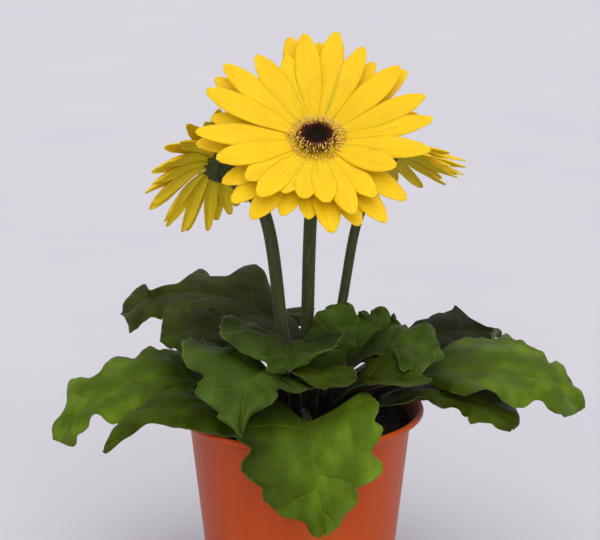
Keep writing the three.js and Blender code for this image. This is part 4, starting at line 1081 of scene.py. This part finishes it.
def small_floret(bm, points, across, widths, tints, tint):
    """A tiny three-sided floret along its points, closed at both ends, with a tint at each."""
    rows = []
    for i, point in enumerate(points):
        ahead = (points[min(i + 1, len(points) - 1)] - points[max(i - 1, 0)]).normalized()
        over = ahead.cross(across).normalized()
        row = []
        for corner in range(3):
            turn = 2 * math.pi * corner / 3
            offset = across * math.sin(turn) + over * math.cos(turn) * 0.7
            vert = bm.verts.new(point + offset * widths[i])
            vert[tint] = tints[i]
            row.append(vert)
        rows.append(row)
    faces = [bm.faces.new(rows[0]), bm.faces.new(rows[-1])]
    for low, high in zip(rows, rows[1:]):
        for k in range(3):
            faces.append(bm.faces.new((low[k], low[k - 2], high[k - 2], high[k])))
    bmesh.ops.recalc_face_normals(bm, faces=faces)


def narrowed(radius, bloom, angle):
    """The ring's radius at the angle: where the head is foreshortened, its far side is drawn in."""
    return radius * (1 - bloom["disc_lean"] / 65 * max(math.sin(angle), 0) ** 1.5)


random.seed(29)
for name, bloom in BLOOMS.items():
    bm = bmesh.new()
    tint = bm.verts.layers.float.new("tint")
    root_rise = bloom["layers"][0]["rise"][0]
    level = Matrix.Rotation(math.radians(-bloom["disc_lean"]), 4, "X")
    plate = bmesh.ops.create_cone(bm, cap_ends=True, segments=32, radius1=RING_BED_RADII[0],
                                  radius2=RING_BED_RADII[1], depth=1.0,
                                  matrix=level @ Matrix.Translation((0, 0, 0.8)))["verts"]
    for vert in plate:
        vert[tint] = 0.1
    slope = math.tan(math.radians(root_rise)) * 0.92
    for i in range(CURLED_FLORETS):
        share = (i + 0.5) / CURLED_FLORETS
        angle = math.radians(GOLDEN_ANGLE * i) + random.uniform(-0.05, 0.05)
        radial, across = outward(angle), outward(angle + math.pi / 2)
        outside = narrowed(RING_OUTSIDE, bloom, angle)
        radius = math.sqrt(lerp(RING_INSIDE ** 2, outside ** 2, share))
        radius += random.uniform(-0.2, 0.2 + 0.7 * share)
        bed = (radius - RAY_ROOT_RADIUS) * slope - 1.4
        root = radial * radius + UP * lerp(1.2, bed, share)
        over = smoothstep(share, 0, 0.8)
        tall = lerp(3.3, 1.7, share) * random.uniform(0.8, 1.15)
        lean = math.radians(lerp(-6, 52, share) + random.uniform(-14, 14))
        curl = math.radians(random.choice(CURLS) * random.uniform(0.6, 1))
        swerve = random.uniform(-0.5, 0.5)
        points = [root]
        for step in range(1, CURL_STEPS + 1):
            bent = lean + curl * max(step / CURL_STEPS - 0.4, 0) / 0.6
            stride = radial * math.sin(bent) + UP * math.cos(bent)
            points.append(points[-1] + (stride + across * swerve * 0.4).normalized() * tall / CURL_STEPS)
        points = [(level @ point).lerp(point, over) for point in points]
        raised = UP * max(bed - points[0].z, 0)
        points = [point + raised for point in points]
        thick, pale = random.uniform(0.17, 0.27), random.uniform(0.0, 0.14)
        widths = [thick * k for k in CURLED_WIDTHS]
        tints = [k + pale for k in CURLED_TINTS]
        small_floret(bm, points, across, widths, tints, tint)
    for i in range(FRINGE_FLORETS):
        angle = 2 * math.pi * (i + random.uniform(-0.4, 0.4)) / FRINGE_FLORETS
        radial, across = outward(angle), outward(angle + math.pi / 2)
        rise = math.radians(root_rise + random.uniform(6, 24))
        long = random.uniform(2.4, 4.2)
        near = narrowed(FRINGE_RADIUS, bloom, angle)
        start = radial * near + UP * ((near - RAY_ROOT_RADIUS) * slope - 1.2)
        points = []
        for step in range(FRINGE_STEPS + 1):
            t = step / FRINGE_STEPS
            bow = radial * math.cos(rise) + UP * (math.sin(rise) - FRINGE_DROOP * t)
            points.append(start + bow * long * t)
        widths = [FRINGE_THICKNESS * k for k in FRINGE_WIDTHS]
        small_floret(bm, points, across, widths, FRINGE_TINTS, tint)
    bmesh.ops.transform(bm, matrix=bloom_matrix(bloom), verts=bm.verts)
    finish(bm, "floret_ring_" + name, [gold], "inner_florets_" + name)


# Disc. A shallow bowl of closed buds in a spiral, maroon at its edge and nearly black in the middle,
# grown together with the head inside the ring of florets.
DISC_BUDS = 150
DISC_RADIUS = 8.2
DISC_BED_RADII = (6.2, 7.8)
BUD_RADIUS = 0.56

# Bud skin: velvety, wine-brown turning black with a hint of green in the middle
bud, add = new_material("disc_bud_skin")
tint = add("Attribute", {}, attribute_name="tint")
hue = add("ValToRGB", {"Fac": tint.outputs["Fac"]},
          [(0.15, "#15130a"), (0.4, "#34150c"), (0.7, "#562418"), (0.95, "#9a5a3c")])
add("OutputMaterial", {"Surface": add("BsdfPrincipled", {
    "Base Color": hue, "Roughness": 0.6, "Specular IOR Level": 0.15})})

random.seed(31)
for name, bloom in BLOOMS.items():
    bm = bmesh.new()
    tint = bm.verts.layers.float.new("tint")
    bmesh.ops.create_cone(bm, cap_ends=True, segments=32, radius1=DISC_BED_RADII[0],
                          radius2=DISC_BED_RADII[1], depth=1.2, matrix=Matrix.Translation((0, 0, 1.3)))
    for i in range(DISC_BUDS):
        share = (i + 0.5) / DISC_BUDS
        radius, angle = DISC_RADIUS * math.sqrt(share), math.radians(GOLDEN_ANGLE * i)
        high = 1.9 + 1.1 * share + random.uniform(-0.15, 0.2)
        lean = Matrix.Rotation(angle, 4, "Z") @ Matrix.Rotation(math.radians(-12 * share), 4, "Y")
        place = Matrix.Translation(outward(angle) * radius + UP * high)
        long = Matrix.Diagonal((BUD_RADIUS, BUD_RADIUS, BUD_RADIUS * random.uniform(1.2, 1.7), 1))
        laid = place @ lean @ long
        made = bmesh.ops.create_icosphere(bm, subdivisions=1, radius=1.0, matrix=laid)["verts"]
        depth = share + random.choice((-0.1, 0, 0, 0.08)) + random.uniform(-0.06, 0.06)
        for vert in made:
            vert[tint] = min(depth + (0.1 if vert.co.z > high + 0.5 else 0), 0.97)
    bmesh.ops.transform(bm, matrix=bloom_matrix(bloom, -bloom["disc_lean"]), verts=bm.verts)
    finish(bm, "disc_buds_" + name, [bud], "disc_" + name)
